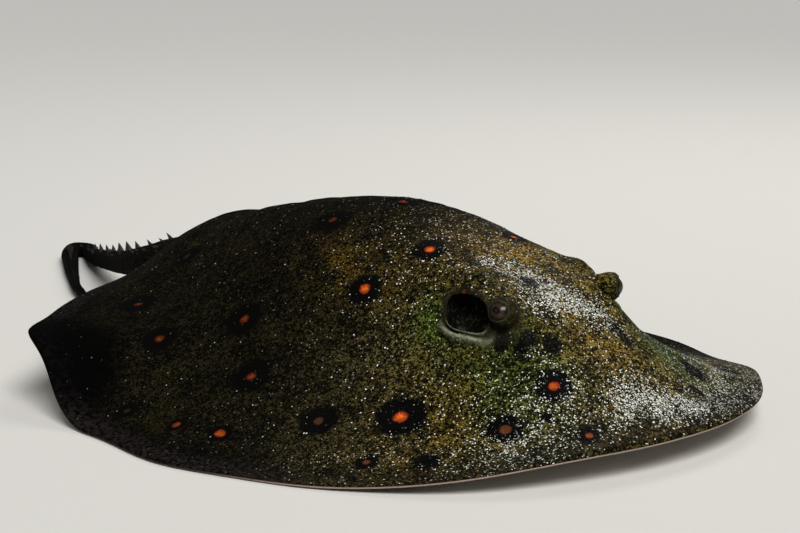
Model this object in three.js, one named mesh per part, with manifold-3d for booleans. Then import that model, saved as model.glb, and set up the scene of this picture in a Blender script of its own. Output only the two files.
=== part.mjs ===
// An ocellate river stingray at rest, life size, in millimetres.
// The head points along -Y, the animal's left side is +X, and the floor it lies on is Z = 0.
// The origin is on the floor under the middle of the disc.
import * as THREE from "three";
import { mergeVertices } from "three/addons/utils/BufferGeometryUtils.js";
import Module from "manifold-3d";

const wasm = await Module();
wasm.setup();

// ---- Driving dimensions ----------------------------------------------------------------------

const DISC_HALF_WIDTH = 182;
const DISC_FRONT = 203; // disc centre to snout tip
const DISC_REAR = 176; // disc centre to the rear notch, where the tail leaves
const DISC_SQUARENESS = 2.12; // 2 is an ellipse
const CORNER_REACH = 8; // how far the raised rear corner stands past the round outline
const CORNER_ANGLE = -121; // degrees from the snout, on the animal's right
const CORNER_SPREAD = 6;
const SHOULDER_TRIM = 8; // how far the left front of the disc is drawn in
const SHOULDER_ANGLE = 46;
const SHOULDER_SPREAD = 26;
const REAR_NOTCH = 12; // how far the rim is drawn in where the tail leaves
const NOTCH_SPREAD = 9;
const RIM_WAVES = [{ count: 9, reach: 1.6, start: 0.6 }, { count: 14, reach: 1.0, start: 2.1 }];

const RIM_THICK = 1.8;
const SKIRT_HEIGHT = 50; // the part of the height that falls evenly to the rim
const SKIRT_FULLNESS = 1.7; // a higher power makes the skirt thinner towards the rim
const FRONT_LIFT = 13; // the front rim's height off the floor
const FRONT_LIFT_ARC = { middle: 9, half: 45 }; // degrees from the snout
const REAR_LIFT = 35; // the rear rim's height off the floor
const REAR_LIFT_ARCS = { right: [98, 122], left: [112, 176] }; // degrees over which it rises
const LIFT_START = { front: 0.45, rear: 0.6 }; // share of the way out where the back lifts
const BELLY_LIFT_START = 0.55;

const GAP = 0.3; // between pieces that were one before they were parted
const SECTORS = 84;
const TOP_RINGS = 14;
const BELLY_RINGS = 6;

// Stations along the back, from the snout to the tail root.
const BACK_Y = [-203, -178, -150, -122, -90, -50, -5, 50, 100, 130, 155, 182];
const BACK_RISE = [0, 12, 28, 42, 45, 45, 45.5, 48, 55.5, 48, 31, 15]; // height over the skirt
const BACK_HALF = [60, 62, 68, 74, 86, 106, 124, 124, 108, 90, 68, 42]; // half width of that rise
const BACK_SIDES = { half: 0.7, fall: 0.72, power: 2.6 }; // how roundly the rise falls to its sides
const TAIL_ROOT = { depth: 7, half: 22, from: 120, to: 170 }; // the belly's low place under the tail

const HEAD_TURN = -3; // how far the head's midline sits to the animal's right
const HEAD_TURN_RUN = [-120, -60]; // where that fades out behind the head
const EYE_BALL = 6.2; // radius
const EYE_KNOB = 7.8; // radius of the lids round it
const EYE_OUT = 2.8; // how far the ball sits out of the knob's centre
const ORBITS = {
  left: { knob: [33.5, -118, 66.3], look: [0.68, -0.73, 0.05], mound: [34, -107] },
  right: { knob: [-39.5, -124, 64.6], look: [-0.93, -0.22, 0.3], mound: [-38.5, -111] },
};
const MOUND = { rise: 8, across: 17, along: 30 };
const SPIRACLES = {
  left: { mouth: [44, -101, 65], rim: [34, -104], rise: 3.4 },
  right: { mouth: [-47.8, -105.6, 63], rim: [-33, -98], rise: 2.6 },
};
const SPIRACLE_RADII = [9, 10.5, 10];
const CHEEK = { at: [72, -134], rise: 5, across: 24, along: 26 }; // fuller on the left, as it lies
const SPIRACLE_RIM = 8; // how wide the raised skin beside each is

// The tail's centre line and its section, from inside the body to the tip.
const TAIL_LINE = [
  [0, 132, 46], [0, 165, 44], [-5, 193, 40.5], [-4, 224, 33], [10, 268, 23.5],
  [31, 320, 14.5], [49, 362, 8], [61, 386, 5.3], [67, 399, 4.8], [62, 408, 4.6],
  [51, 397, 4.5], [38, 376, 4.3], [24, 353, 4.2], [9, 327, 4.3], [-6, 300, 4.6],
  [-18, 271, 4.6], [-26, 247, 4],
];
const TAIL_HALF_HEIGHT = [
  17, 14, 11, 9, 7.4, 6.2, 5.5, 5.1, 4.9, 4.8, 4.6, 4.3, 3.9, 3.4, 2.9, 2.2, 1,
];
const TAIL_FLATNESS = [1.5, 1.45, 1.35, 1.25, 1.2, 1.15, 1.1, 1.1, 1.15, 1.2, 1.25, 1.25, 1.2, 1.1, 1, 0.8, 0.8];
const TAIL_SIDES = 12;
const TAIL_STEPS = 42;
const TAIL_PARTS = { base: [0, 0.36], middle: [0.36, 0.66], end: [0.66, 1] }; // shares of its length

const THORNS = { count: 17, from: 0.13, to: 0.5, height: 7, radius: 2.1, sink: 2.5, lean: 0.45 };
const THORN_TAPER = { tallest: 0.9, fall: 0.35, uneven: 0.12, beat: 2.4 }; // along the row
const STING = { from: 0.65, length: 46, width: 4.6, thick: 1.8, rings: 9, sides: 6, butt: 1.5 };
const STING_ROOT = 0.72; // its width at the root, as a share of its greatest
const FOLD = { from: 0.79, to: 0.985, upper: 3.2, lower: 2.6, thick: 1.1, steps: 12 };
const FOLD_SHAPE = { crest: 0.45, ends: 0.08 }; // half width of its top edge, and how full its ends are

// Where the body is parted.
const CORE_Y = [-230, -178, -140, -100, -50, 0, 60, 110, 150, 200];
const CORE_HALF = [26, 40, 58, 68, 77, 80, 76, 62, 42, 26];
const CUT_SNOUT = -146;
const CUT_HEAD = -76;
const CUT_TRUNK = 28;
const CUT_TAIL = 150;
const CUT_FIN = -20;
const CORE_STEPS = 29;
const CORE_BOTTOM = -50;
const CORE_HEIGHT = 200;

const PELVIC = { root: [20, 138], reach: 60, slim: 0.8, tilt: 63, thick: 4.4, edge: 1.5, droop: 7, drop: 1 };
const PELVIC_DROOP_RUN = [165, 200];
const PELVIC_AROUND = 18;
const PELVIC_RINGS = 4;

// ---- Small functions ---------------------------------------------------------------------------

const degrees = (radians) => (radians * 180) / Math.PI;
const radians = (angle) => (angle * Math.PI) / 180;

function smooth(from, to, value) {
  const t = THREE.MathUtils.clamp((value - from) / (to - from), 0, 1);
  return t * t * (3 - 2 * t);
}

// A hump of height 1 round an angle in degrees, `spread` wide.
function humpAt(angle, centre, spread) {
  const away = ((angle - centre + 540) % 360) - 180;
  return Math.exp(-((away / spread) ** 2));
}

// A smooth curve through stations, with the slope at each taken from its neighbours.
function through(value, stations, values) {
  const last = stations.length - 1;
  const v = THREE.MathUtils.clamp(value, stations[0], stations[last]);
  let i = 0;
  while (i < last - 1 && v >= stations[i + 1]) i += 1;
  const slope = (k) => {
    const a = Math.max(k - 1, 0);
    const b = Math.min(k + 1, last);
    return (values[b] - values[a]) / (stations[b] - stations[a]);
  };
  const span = stations[i + 1] - stations[i];
  const t = (v - stations[i]) / span;
  return (
    values[i] * (2 * t ** 3 - 3 * t ** 2 + 1) +
    span * slope(i) * (t ** 3 - 2 * t ** 2 + t) +
    values[i + 1] * (-2 * t ** 3 + 3 * t ** 2) +
    span * slope(i + 1) * (t ** 3 - t ** 2)
  );
}

// ---- The disc's shape --------------------------------------------------------------------------

// Distance from the centre to the rim. The angle is 0 at the snout and grows to the animal's left.
function rimRadius(angle) {
  const c = Math.cos(angle);
  const s = Math.sin(angle);
  const reach = c > 0 ? DISC_FRONT : DISC_REAR;
  const p = DISC_SQUARENESS;
  const round = (Math.abs(c / reach) ** p + Math.abs(s / DISC_HALF_WIDTH) ** p) ** (-1 / p);
  const waves = RIM_WAVES.map((wave) => wave.reach * Math.sin(wave.count * angle + wave.start));
  return (
    round +
    (waves[0] + waves[1]) * Math.abs(s) -
    SHOULDER_TRIM * humpAt(degrees(angle), SHOULDER_ANGLE, SHOULDER_SPREAD) -
    REAR_NOTCH * humpAt(degrees(angle), 180, NOTCH_SPREAD) +
    CORNER_REACH * humpAt(degrees(angle), CORNER_ANGLE, CORNER_SPREAD)
  );
}

// How far the rim is held off the floor.
function rimLift(angle) {
  const d = degrees(angle);
  const front = FRONT_LIFT * Math.exp(-(((d - FRONT_LIFT_ARC.middle) / FRONT_LIFT_ARC.half) ** 4));
  const rearRight = d < 0 ? REAR_LIFT * smooth(...REAR_LIFT_ARCS.right, -d) : 0;
  const rearLeft = d > 0 ? REAR_LIFT * smooth(...REAR_LIFT_ARCS.left, d) : 0;
  return front + rearRight + rearLeft;
}

function polar(x, y) {
  const angle = Math.atan2(x, -y);
  const share = Math.min(Math.hypot(x, y) / rimRadius(angle), 1);
  return { angle, share };
}

function backHeight(x, y) {
  const { angle, share } = polar(x, y);
  const behind = smooth(90, 150, Math.abs(degrees(angle)));
  const liftStart = THREE.MathUtils.lerp(LIFT_START.front, LIFT_START.rear, behind);
  let z = RIM_THICK + rimLift(angle) * smooth(liftStart, 1, share);
  z += SKIRT_HEIGHT * (1 - share ** 2) ** SKIRT_FULLNESS;
  const middle = HEAD_TURN * (1 - smooth(...HEAD_TURN_RUN, y));
  const across = Math.abs(x - middle) / through(y, BACK_Y, BACK_HALF);
  const fall = BACK_SIDES.fall * (across / BACK_SIDES.half) ** BACK_SIDES.power;
  z += through(y, BACK_Y, BACK_RISE) * Math.exp(-fall);
  for (const side of ["left", "right"]) {
    const [mx, my] = ORBITS[side].mound;
    z += MOUND.rise * Math.exp(-(((x - mx) / MOUND.across) ** 2) - ((y - my) / MOUND.along) ** 2);
    const { rim, rise } = SPIRACLES[side];
    z += rise * Math.exp(-((x - rim[0]) ** 2 + (y - rim[1]) ** 2) / SPIRACLE_RIM ** 2);
  }
  const out = [(x - CHEEK.at[0]) / CHEEK.across, (y - CHEEK.at[1]) / CHEEK.along];
  return z + CHEEK.rise * Math.exp(-(out[0] ** 2) - out[1] ** 2);
}

// The belly is flat on the floor; it rises to the rim where the rim is held up.
function bellyHeight(x, y) {
  const { angle, share } = polar(x, y);
  const along = smooth(TAIL_ROOT.from, TAIL_ROOT.to, y);
  const low = TAIL_ROOT.depth * Math.exp(-((x / TAIL_ROOT.half) ** 2)) * along;
  return Math.max(0, rimLift(angle) * smooth(BELLY_LIFT_START, 1, share) - low);
}

// ---- Solids --------------------------------------------------------------------------------------

function solidFrom(geometry) {
  const bare = geometry.clone();
  bare.deleteAttribute("normal");
  bare.deleteAttribute("uv");
  const merged = mergeVertices(bare, 1e-4);
  return new wasm.Manifold(
    new wasm.Mesh({
      numProp: 3,
      vertProperties: new Float32Array(merged.attributes.position.array),
      triVerts: new Uint32Array(merged.index.array),
    }),
  );
}

function geometryFrom(solid) {
  const mesh = solid.getMesh();
  const geometry = new THREE.BufferGeometry();
  geometry.setAttribute("position", new THREE.BufferAttribute(mesh.vertProperties, mesh.numProp));
  geometry.setIndex(new THREE.BufferAttribute(mesh.triVerts, 1));
  geometry.computeVertexNormals();
  return geometry;
}

// A closed mesh from rings of points, each ring as long as the next, closed by a point at each end.
function lathed(start, rings, end) {
  const points = [start, ...rings.flat(), end];
  const faces = [];
  const n = rings[0].length;
  const at = (ring, k) => 1 + ring * n + (k % n);
  for (let k = 0; k < n; k += 1) {
    faces.push(0, at(0, k), at(0, k + 1));
    for (let r = 0; r < rings.length - 1; r += 1) {
      faces.push(at(r, k), at(r + 1, k), at(r + 1, k + 1));
      faces.push(at(r, k), at(r + 1, k + 1), at(r, k + 1));
    }
    faces.push(points.length - 1, at(rings.length - 1, k + 1), at(rings.length - 1, k));
  }
  const geometry = new THREE.BufferGeometry();
  geometry.setAttribute("position", new THREE.Float32BufferAttribute(points.flat(), 3));
  geometry.setIndex(faces);
  return geometry;
}

function box(low, high) {
  const size = high.map((value, k) => value - low[k]);
  const centre = high.map((value, k) => (value + low[k]) / 2);
  return solidFrom(new THREE.BoxGeometry(...size).translate(...centre));
}

function ball(centre, radii, detail) {
  return solidFrom(new THREE.IcosahedronGeometry(1, detail).scale(...radii).translate(...centre));
}

const FAR = 600;
const slice = (solid, axis, from, to) => {
  const low = [-FAR, -FAR, -FAR];
  const high = [FAR, FAR, FAR];
  low[axis] = from;
  high[axis] = to;
  return solid.intersect(box(low, high));
};

// ---- The disc ------------------------------------------------------------------------------------

function discSolid() {
  const ring = (share, height) =>
    Array.from({ length: SECTORS }, (_, k) => {
      const angle = (k / SECTORS) * 2 * Math.PI - Math.PI;
      const r = rimRadius(angle) * share;
      const x = r * Math.sin(angle);
      const y = -r * Math.cos(angle);
      return [x, y, height(x, y)];
    });
  const back = Array.from({ length: TOP_RINGS }, (_, i) => ring(((i + 1) / TOP_RINGS) ** 0.85, backHeight));
  const belly = Array.from({ length: BELLY_RINGS }, (_, i) => ring(1 - i / BELLY_RINGS, bellyHeight));
  return solidFrom(lathed([0, 0, backHeight(0, 0)], [...back, ...belly], [0, 0, 0]));
}

// The head, trunk and tail root, seen from above, as a prism through the disc.
function corePrism(margin) {
  const side = (sign) =>
    Array.from({ length: CORE_STEPS + 1 }, (_, k) => {
      const y = THREE.MathUtils.lerp(CORE_Y[0], CORE_Y.at(-1), k / CORE_STEPS);
      return new THREE.Vector2(sign * (through(y, CORE_Y, CORE_HALF) + margin), y);
    });
  const shape = new THREE.Shape([...side(1), ...side(-1).reverse()]);
  const prism = new THREE.ExtrudeGeometry(shape, { depth: CORE_HEIGHT, bevelEnabled: false });
  return solidFrom(prism.translate(0, 0, CORE_BOTTOM));
}

// ---- The tail ------------------------------------------------------------------------------------

const tailCurve = new THREE.CatmullRomCurve3(
  TAIL_LINE.map((point) => new THREE.Vector3(...point)),
  false,
  "centripetal",
);
const tailLength = tailCurve.getLength();
const UP = new THREE.Vector3(0, 0, 1);

// A point of the tail's centre line, with its directions and half sizes there.
function tailAt(share) {
  const place = tailCurve.getPointAt(share);
  const along = tailCurve.getTangentAt(share);
  const side = new THREE.Vector3().crossVectors(along, UP).normalize();
  const above = new THREE.Vector3().crossVectors(side, along).normalize();
  const stations = TAIL_LINE.map((_, k) => k);
  const station = tailCurve.getUtoTmapping(share) * (TAIL_LINE.length - 1);
  const high = through(station, stations, TAIL_HALF_HEIGHT);
  const wide = high * through(station, stations, TAIL_FLATNESS);
  return { place, along, side, above, high, wide };
}

function tailSolid(from, to) {
  const steps = Math.max(6, Math.round(TAIL_STEPS * (to - from)));
  const rings = [];
  for (let i = 0; i <= steps; i += 1) {
    const { place, side, above, high, wide } = tailAt(from + ((to - from) * i) / steps);
    rings.push(
      Array.from({ length: TAIL_SIDES }, (_, k) => {
        const turn = (k / TAIL_SIDES) * 2 * Math.PI;
        return place
          .clone()
          .addScaledVector(side, Math.cos(turn) * wide)
          .addScaledVector(above, Math.sin(turn) * high)
          .toArray();
      }),
    );
  }
  const start = tailAt(from).place.toArray();
  const end = tailAt(to).place.toArray();
  return solidFrom(lathed(start, rings, end));
}

// The row of thorns along the middle of the tail's back.
function thornSolids(from, to) {
  const thorns = [];
  for (let i = 0; i < THORNS.count; i += 1) {
    const share = THREE.MathUtils.lerp(THORNS.from, THORNS.to, i / (THORNS.count - 1));
    if (share < from + 0.01 || share > to - 0.01) continue;
    const { place, along, above, high } = tailAt(share);
    const fall = THORN_TAPER.fall * Math.abs((2 * i) / (THORNS.count - 1) - THORN_TAPER.tallest);
    const size = 1 - fall + THORN_TAPER.uneven * Math.sin(THORN_TAPER.beat * i);
    const height = THORNS.height * size + THORNS.sink;
    const direction = above.clone().addScaledVector(along, THORNS.lean).normalize();
    const cone = new THREE.ConeGeometry(THORNS.radius * size, height, 5).translate(0, height / 2, 0);
    cone.applyQuaternion(new THREE.Quaternion().setFromUnitVectors(new THREE.Vector3(0, 1, 0), direction));
    const foot = place.clone().addScaledVector(above, high - THORNS.sink);
    thorns.push(solidFrom(cone.translate(...foot.toArray())));
  }
  return thorns;
}

function tailPart([from, to]) {
  const gapShare = GAP / 2 / tailLength;
  const low = from === 0 ? 0 : from + gapShare;
  const high = to === 1 ? 1 : to - gapShare;
  const whole = thornSolids(low, high).reduce((sum, thorn) => sum.add(thorn), tailSolid(low, high));
  return slice(whole, 2, 0, FAR);
}

// The sting: a flat blade that lies along the top of the tail, pointing back.
function stingSolid() {
  const { place, above, along, side, high } = tailAt(STING.from);
  const end = tailAt(STING.from + STING.length / tailLength);
  const start = place.clone().addScaledVector(above, high + GAP + STING.thick / 2 + 0.3);
  const tip = end.place.clone().addScaledVector(end.above, end.high + GAP + STING.thick / 2 + 0.5);
  const run = tip.clone().sub(start);
  const rings = [];
  for (let i = 0; i < STING.rings; i += 1) {
    const t = i / STING.rings;
    const swell = STING_ROOT + (1 - STING_ROOT) * Math.sin(Math.PI * Math.min(1, t * 2.2));
    const half = (STING.width / 2) * swell * (1 - t ** 3);
    const thick = (STING.thick / 2) * (1 - 0.5 * t ** 2);
    const centre = start.clone().addScaledVector(run, t);
    rings.push(
      Array.from({ length: STING.sides }, (_, k) => {
        const turn = (k / STING.sides) * 2 * Math.PI;
        return centre
          .clone()
          .addScaledVector(side, Math.cos(turn) * Math.max(half, 0.5))
          .addScaledVector(above, Math.sin(turn) * thick)
          .toArray();
      }),
    );
  }
  const butt = start.clone().addScaledVector(along, -STING.butt);
  return solidFrom(lathed(butt.toArray(), rings, tip.toArray()));
}

// A low keel of skin along the end of the tail: `way` is 1 on top of it and -1 below.
function foldSolid(way, rise) {
  const rings = [];
  for (let i = 0; i <= FOLD.steps; i += 1) {
    const t = i / FOLD.steps;
    const { place, side, above, high } = tailAt(THREE.MathUtils.lerp(FOLD.from, FOLD.to, t));
    const arch = THREE.MathUtils.lerp(FOLD_SHAPE.ends, 1 - FOLD_SHAPE.ends, t);
    const crest = rise * Math.sin(Math.PI * arch) ** 0.6;
    const root = high + GAP * 1.4;
    const section = [
      [-1, root], [1, root], [FOLD_SHAPE.crest, root + crest], [-FOLD_SHAPE.crest, root + crest],
    ];
    const ordered = way > 0 ? section : section.map(([a, b]) => [-a, b]);
    rings.push(
      ordered.map(([across, up]) =>
        place
          .clone()
          .addScaledVector(side, (across * FOLD.thick) / 2)
          .addScaledVector(above, way * up)
          .toArray(),
      ),
    );
  }
  const middle = (ring) => [0, 1, 2].map((k) => ring.reduce((sum, p) => sum + p[k], 0) / ring.length);
  return solidFrom(lathed(middle(rings[0]), rings, middle(rings.at(-1))));
}

// ---- Pelvic fins ---------------------------------------------------------------------------------

// One lobe under the disc's rear margin, beside the tail root. It follows the disc's underside.
function pelvicSolid(sign, disc) {
  const [rootX, rootY] = PELVIC.root;
  const point = (share, k, top) => {
    const turn = (k / PELVIC_AROUND) * 2 * Math.PI;
    const tilt = radians(PELVIC.tilt);
    const long = Math.cos(turn);
    const wide = Math.sin(turn) * PELVIC.slim;
    const u = (PELVIC.reach / 2) * (1 + share * long);
    const v = (PELVIC.reach / 2) * share * wide;
    const x = rootX + u * Math.cos(tilt) - v * Math.sin(tilt);
    const y = rootY + u * Math.sin(tilt) + v * Math.cos(tilt);
    const thick = THREE.MathUtils.lerp(PELVIC.thick, PELVIC.edge, share ** 2);
    const droop = PELVIC.droop * smooth(...PELVIC_DROOP_RUN, y);
    const z = bellyHeight(sign * x, y) - PELVIC.drop - droop;
    return [sign * x, y, z - (top ? 0 : thick)];
  };
  const ring = (share, top) =>
    Array.from({ length: PELVIC_AROUND }, (_, k) => point(share, sign * k + PELVIC_AROUND, top));
  const shares = Array.from({ length: PELVIC_RINGS }, (_, i) => (i + 1) / PELVIC_RINGS);
  const above = shares.map((share) => ring(share, true));
  const below = shares.toReversed().map((share) => ring(share, false));
  const lobe = solidFrom(lathed(point(0, 0, true), [...above, ...below], point(0, 0, false)));
  return lobe.subtract(disc.add(disc.translate([0, 0, -GAP])));
}

// ---- Putting it together -------------------------------------------------------------------------

const SKIN = {
  back: { color: 0x4b4228, roughness: 0.5, metalness: 0 },
  head: { color: 0x5c5530, roughness: 0.45, metalness: 0 },
  fin: { color: 0x453e2a, roughness: 0.5, metalness: 0 },
  tail: { color: 0x2a2621, roughness: 0.55, metalness: 0 },
};
const STING_BONE = { color: 0xb9a988, roughness: 0.4, metalness: 0 };
const EYE_DARK = { color: 0x14120f, roughness: 0.08, metalness: 0 };

const ray = new THREE.Group();

function addPiece(name, solid, finish) {
  const mesh = new THREE.Mesh(geometryFrom(solid), new THREE.MeshStandardMaterial(finish));
  mesh.name = name;
  ray.add(mesh);
}

function addHead(core) {
  let head = slice(core, 1, CUT_SNOUT + GAP / 2, CUT_HEAD - GAP / 2);
  for (const side of ["left", "right"]) {
    const { knob, look } = ORBITS[side];
    const { mouth } = SPIRACLES[side];
    const eye = knob.map((value, k) => value + look[k] * EYE_OUT);
    const socket = EYE_BALL + GAP;
    head = head.add(ball(knob, [EYE_KNOB, EYE_KNOB, EYE_KNOB], 2));
    head = head.subtract(ball(eye, [socket, socket, socket], 2));
    head = head.subtract(ball(mouth, SPIRACLE_RADII, 2));
    addPiece("eye_" + side, ball(eye, [EYE_BALL, EYE_BALL, EYE_BALL], 2), EYE_DARK);
  }
  addPiece("head", head, SKIN.head);
}

function addFins(disc) {
  const fins = disc.subtract(corePrism(GAP));
  for (const [side, low, high] of [["left", 0, FAR], ["right", -FAR, 0]]) {
    const fin = slice(fins, 0, low, high);
    addPiece("pectoral_fin_" + side + "_front", slice(fin, 1, -FAR, CUT_FIN - GAP / 2), SKIN.fin);
    addPiece("pectoral_fin_" + side + "_rear", slice(fin, 1, CUT_FIN + GAP / 2, FAR), SKIN.fin);
    addPiece("pelvic_fin_" + side, pelvicSolid(side === "left" ? 1 : -1, disc), SKIN.fin);
  }
}

function addTrunk(core) {
  addPiece("snout", slice(core, 1, -FAR, CUT_SNOUT - GAP / 2), SKIN.head);
  addPiece("trunk_front", slice(core, 1, CUT_HEAD + GAP / 2, CUT_TRUNK - GAP / 2), SKIN.back);
  addPiece("trunk_rear", slice(core, 1, CUT_TRUNK + GAP / 2, CUT_TAIL - GAP / 2), SKIN.back);
}

function addTail(core, disc) {
  const root = slice(core, 1, CUT_TAIL + GAP / 2, FAR);
  const free = slice(tailPart(TAIL_PARTS.base), 1, CUT_TAIL + GAP / 2, FAR);
  const finsAround = disc.subtract(corePrism(0));
  addPiece("tail_base", root.add(free.subtract(finsAround)), SKIN.tail);
  addPiece("tail_middle", tailPart(TAIL_PARTS.middle), SKIN.tail);
  addPiece("tail_end", tailPart(TAIL_PARTS.end), SKIN.tail);
  addPiece("tail_sting", stingSolid(), STING_BONE);
  addPiece("tail_fold_upper", foldSolid(1, FOLD.upper), SKIN.tail);
  addPiece("tail_fold_lower", slice(foldSolid(-1, FOLD.lower), 2, 0, FAR), SKIN.tail);
}

const disc = discSolid();
const core = disc.intersect(corePrism(0));
addTrunk(core);
addHead(core);
addFins(disc);
addTail(core, disc);

export default ray;
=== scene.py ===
import math

import bpy
import numpy as np
from mathutils import Matrix, Vector, noise
from mathutils.geometry import delaunay_2d_cdt
from mathutils.kdtree import KDTree


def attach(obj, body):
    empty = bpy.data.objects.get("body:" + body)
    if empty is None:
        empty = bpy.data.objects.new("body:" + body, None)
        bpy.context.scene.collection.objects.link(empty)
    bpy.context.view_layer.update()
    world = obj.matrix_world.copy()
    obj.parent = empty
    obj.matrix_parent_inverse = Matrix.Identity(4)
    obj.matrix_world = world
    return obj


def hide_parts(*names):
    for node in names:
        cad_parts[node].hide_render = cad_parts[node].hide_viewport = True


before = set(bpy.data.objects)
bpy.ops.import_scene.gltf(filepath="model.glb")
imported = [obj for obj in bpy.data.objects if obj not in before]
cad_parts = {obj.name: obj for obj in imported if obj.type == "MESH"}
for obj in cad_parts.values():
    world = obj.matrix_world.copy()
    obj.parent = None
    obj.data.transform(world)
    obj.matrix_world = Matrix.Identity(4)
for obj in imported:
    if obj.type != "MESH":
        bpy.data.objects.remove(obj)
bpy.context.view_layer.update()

# A river stingray at rest, life size. The head points along -Y, its left side is +X, the floor is Z = 0.
# Shapes are worked out in millimetres and turned into metres where a mesh is made.

# ---- Camera --------------------------------------------------------------------------------------
# A long lens, low in front of the ray's right eye. It looks at the middle of the body, and the whole
# animal fits with floor in front and behind.

CAMERA_DISTANCE = 1.15
CAMERA_AZIMUTH = math.radians(-41)
CAMERA_HEIGHT_ANGLE = math.radians(14.5)
CAMERA_AIM = Vector((0.01067, 0.00909, 0.06024))
LENS = 97.4
SENSOR = 36.0

level_reach = CAMERA_DISTANCE * math.cos(CAMERA_HEIGHT_ANGLE)
camera_place = Vector((
    level_reach * math.sin(CAMERA_AZIMUTH),
    -level_reach * math.cos(CAMERA_AZIMUTH),
    CAMERA_DISTANCE * math.sin(CAMERA_HEIGHT_ANGLE),
))
camera_data = bpy.data.cameras.new("camera")
camera_data.lens = LENS
camera_data.sensor_width = SENSOR
camera_data.clip_start = 0.05
camera = bpy.data.objects.new("camera", camera_data)
camera.location = camera_place
camera.rotation_euler = (CAMERA_AIM - camera_place).to_track_quat("-Z", "Y").to_euler()
bpy.context.scene.collection.objects.link(camera)
bpy.context.scene.camera = camera

# ---- Floor and lights ----------------------------------------------------------------------------
# A pale floor and soft studio lights: a broad sun from the ray's front right, a key before its head,
# a light behind its left wing, a weak fill and a low even sky.

FLOOR_HALF = 9.0
FLOOR_COLOUR = (0.62, 0.60, 0.56, 1)
FLOOR_GAP = 0.0004
FLOOR_ROUGHNESS = 0.85
SKY_COLOUR = (0.86, 0.93, 1.0, 1)
SKY_STRENGTH = 0.14
SUN = {"aim": (0.35, 0.75, -1.0), "strength": 3.0, "spread": 34}
LIGHTS = {
    "key": {"place": (-0.15, -1.15, 1.45), "aim": (0.0, -0.12, 0.03),
            "size": 0.8, "watts": 5, "tint": (1.0, 0.97, 0.92)},
    "rim": {"place": (0.9, 0.35, 1.1), "aim": (0.0, 0.0, 0.05),
            "size": 0.7, "watts": 5, "tint": (1.0, 1.0, 0.94)},
    "fill": {"place": (-1.6, 0.2, 0.9), "aim": (0.0, 0.0, 0.05),
             "size": 1.2, "watts": 2, "tint": (0.92, 1.0, 0.94)},
}


def add_node(tree, kind, inputs=None, **settings):
    """A node with its settings, and each named input linked to a socket or set to a value."""
    made = tree.nodes.new(kind)
    for name, value in settings.items():
        setattr(made, name, value)
    for name, value in (inputs or {}).items():
        if isinstance(value, bpy.types.NodeSocket):
            tree.links.new(value, made.inputs[name])
        else:
            made.inputs[name].default_value = value
    return made


def new_material(name):
    """A material with an empty node tree, and its Principled shader wired to the output."""
    material = bpy.data.materials.new(name)
    material.use_nodes = True
    tree = material.node_tree
    tree.nodes.clear()
    shader = add_node(tree, "ShaderNodeBsdfPrincipled")
    add_node(tree, "ShaderNodeOutputMaterial", {"Surface": shader.outputs[0]})
    return material, tree, shader


floor_mesh = bpy.data.meshes.new("floor")
floor_corners = [(-1, -1), (1, -1), (1, 1), (-1, 1)]
floor_points = [(a * FLOOR_HALF, b * FLOOR_HALF, -FLOOR_GAP) for a, b in floor_corners]
floor_mesh.from_pydata(floor_points, [], [(0, 1, 2, 3)])
floor = bpy.data.objects.new("floor", floor_mesh)
bpy.context.scene.collection.objects.link(floor)
floor_material, _, floor_shader = new_material("floor_pale")
floor_shader.inputs["Base Color"].default_value = FLOOR_COLOUR
floor_shader.inputs["Roughness"].default_value = FLOOR_ROUGHNESS
floor_mesh.materials.append(floor_material)

for light_name, setup in LIGHTS.items():
    light_data = bpy.data.lights.new(light_name, "AREA")
    light_data.shape = "DISK"
    light_data.size = setup["size"]
    light_data.energy = setup["watts"]
    light_data.color = setup["tint"]
    light = bpy.data.objects.new(light_name, light_data)
    light.location = setup["place"]
    light_way = Vector(setup["aim"]) - Vector(setup["place"])
    light.rotation_euler = light_way.to_track_quat("-Z", "Y").to_euler()
    bpy.context.scene.collection.objects.link(light)

sun_data = bpy.data.lights.new("sun", "SUN")
sun_data.energy = SUN["strength"]
sun_data.angle = math.radians(SUN["spread"])
sun = bpy.data.objects.new("sun", sun_data)
sun.rotation_euler = Vector(SUN["aim"]).to_track_quat("-Z", "Y").to_euler()
bpy.context.scene.collection.objects.link(sun)

world = bpy.data.worlds.new("sky")
world.use_nodes = True
world.node_tree.nodes["Background"].inputs["Color"].default_value = SKY_COLOUR
world.node_tree.nodes["Background"].inputs["Strength"].default_value = SKY_STRENGTH
bpy.context.scene.world = world
bpy.context.scene.view_settings.view_transform = "Standard"
bpy.context.scene.view_settings.look = "None"

# ---- Skin: the shape of the disc -----------------------------------------------------------------
# One wet skin covers disc, head, fins and tail. It is cast whole: a domed back and a flat belly that
# meet in a thin rim, with the lids, the breathing holes, the mouth and the gill slits modelled in it.

MM = 0.001
DISC_HALF_WIDTH = 182
DISC_FRONT = 203
DISC_REAR = 176
DISC_SQUARENESS = 2.12
RIM_THICK = 1.8
SKIRT_HEIGHT = 50
SKIRT_FALL = 1.7

# The rim's waves: how many round the disc, their reach and their start. Its three bumps, the left
# shoulder, the notch over the tail and the raised right corner: reach, angle and spread in degrees.
RIM_WAVES = [(9, 1.6, 0.6), (14, 1.0, 2.1)]
RIM_BUMPS = [(-8, 46, 26), (-12, 180, 9), (8, -121, 6)]
FRONT_LIFT = {"rise": 13, "angle": 9, "spread": 45}
REAR_LIFT = {"rise": 35, "right": (98, 122), "left": (112, 176)}
LIFT_FROM = {"front": 0.45, "later_behind": 0.15, "belly": 0.55}
TAIL_HOLLOW = {"depth": 7, "half": 22, "from": 120, "to": 170}

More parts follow.
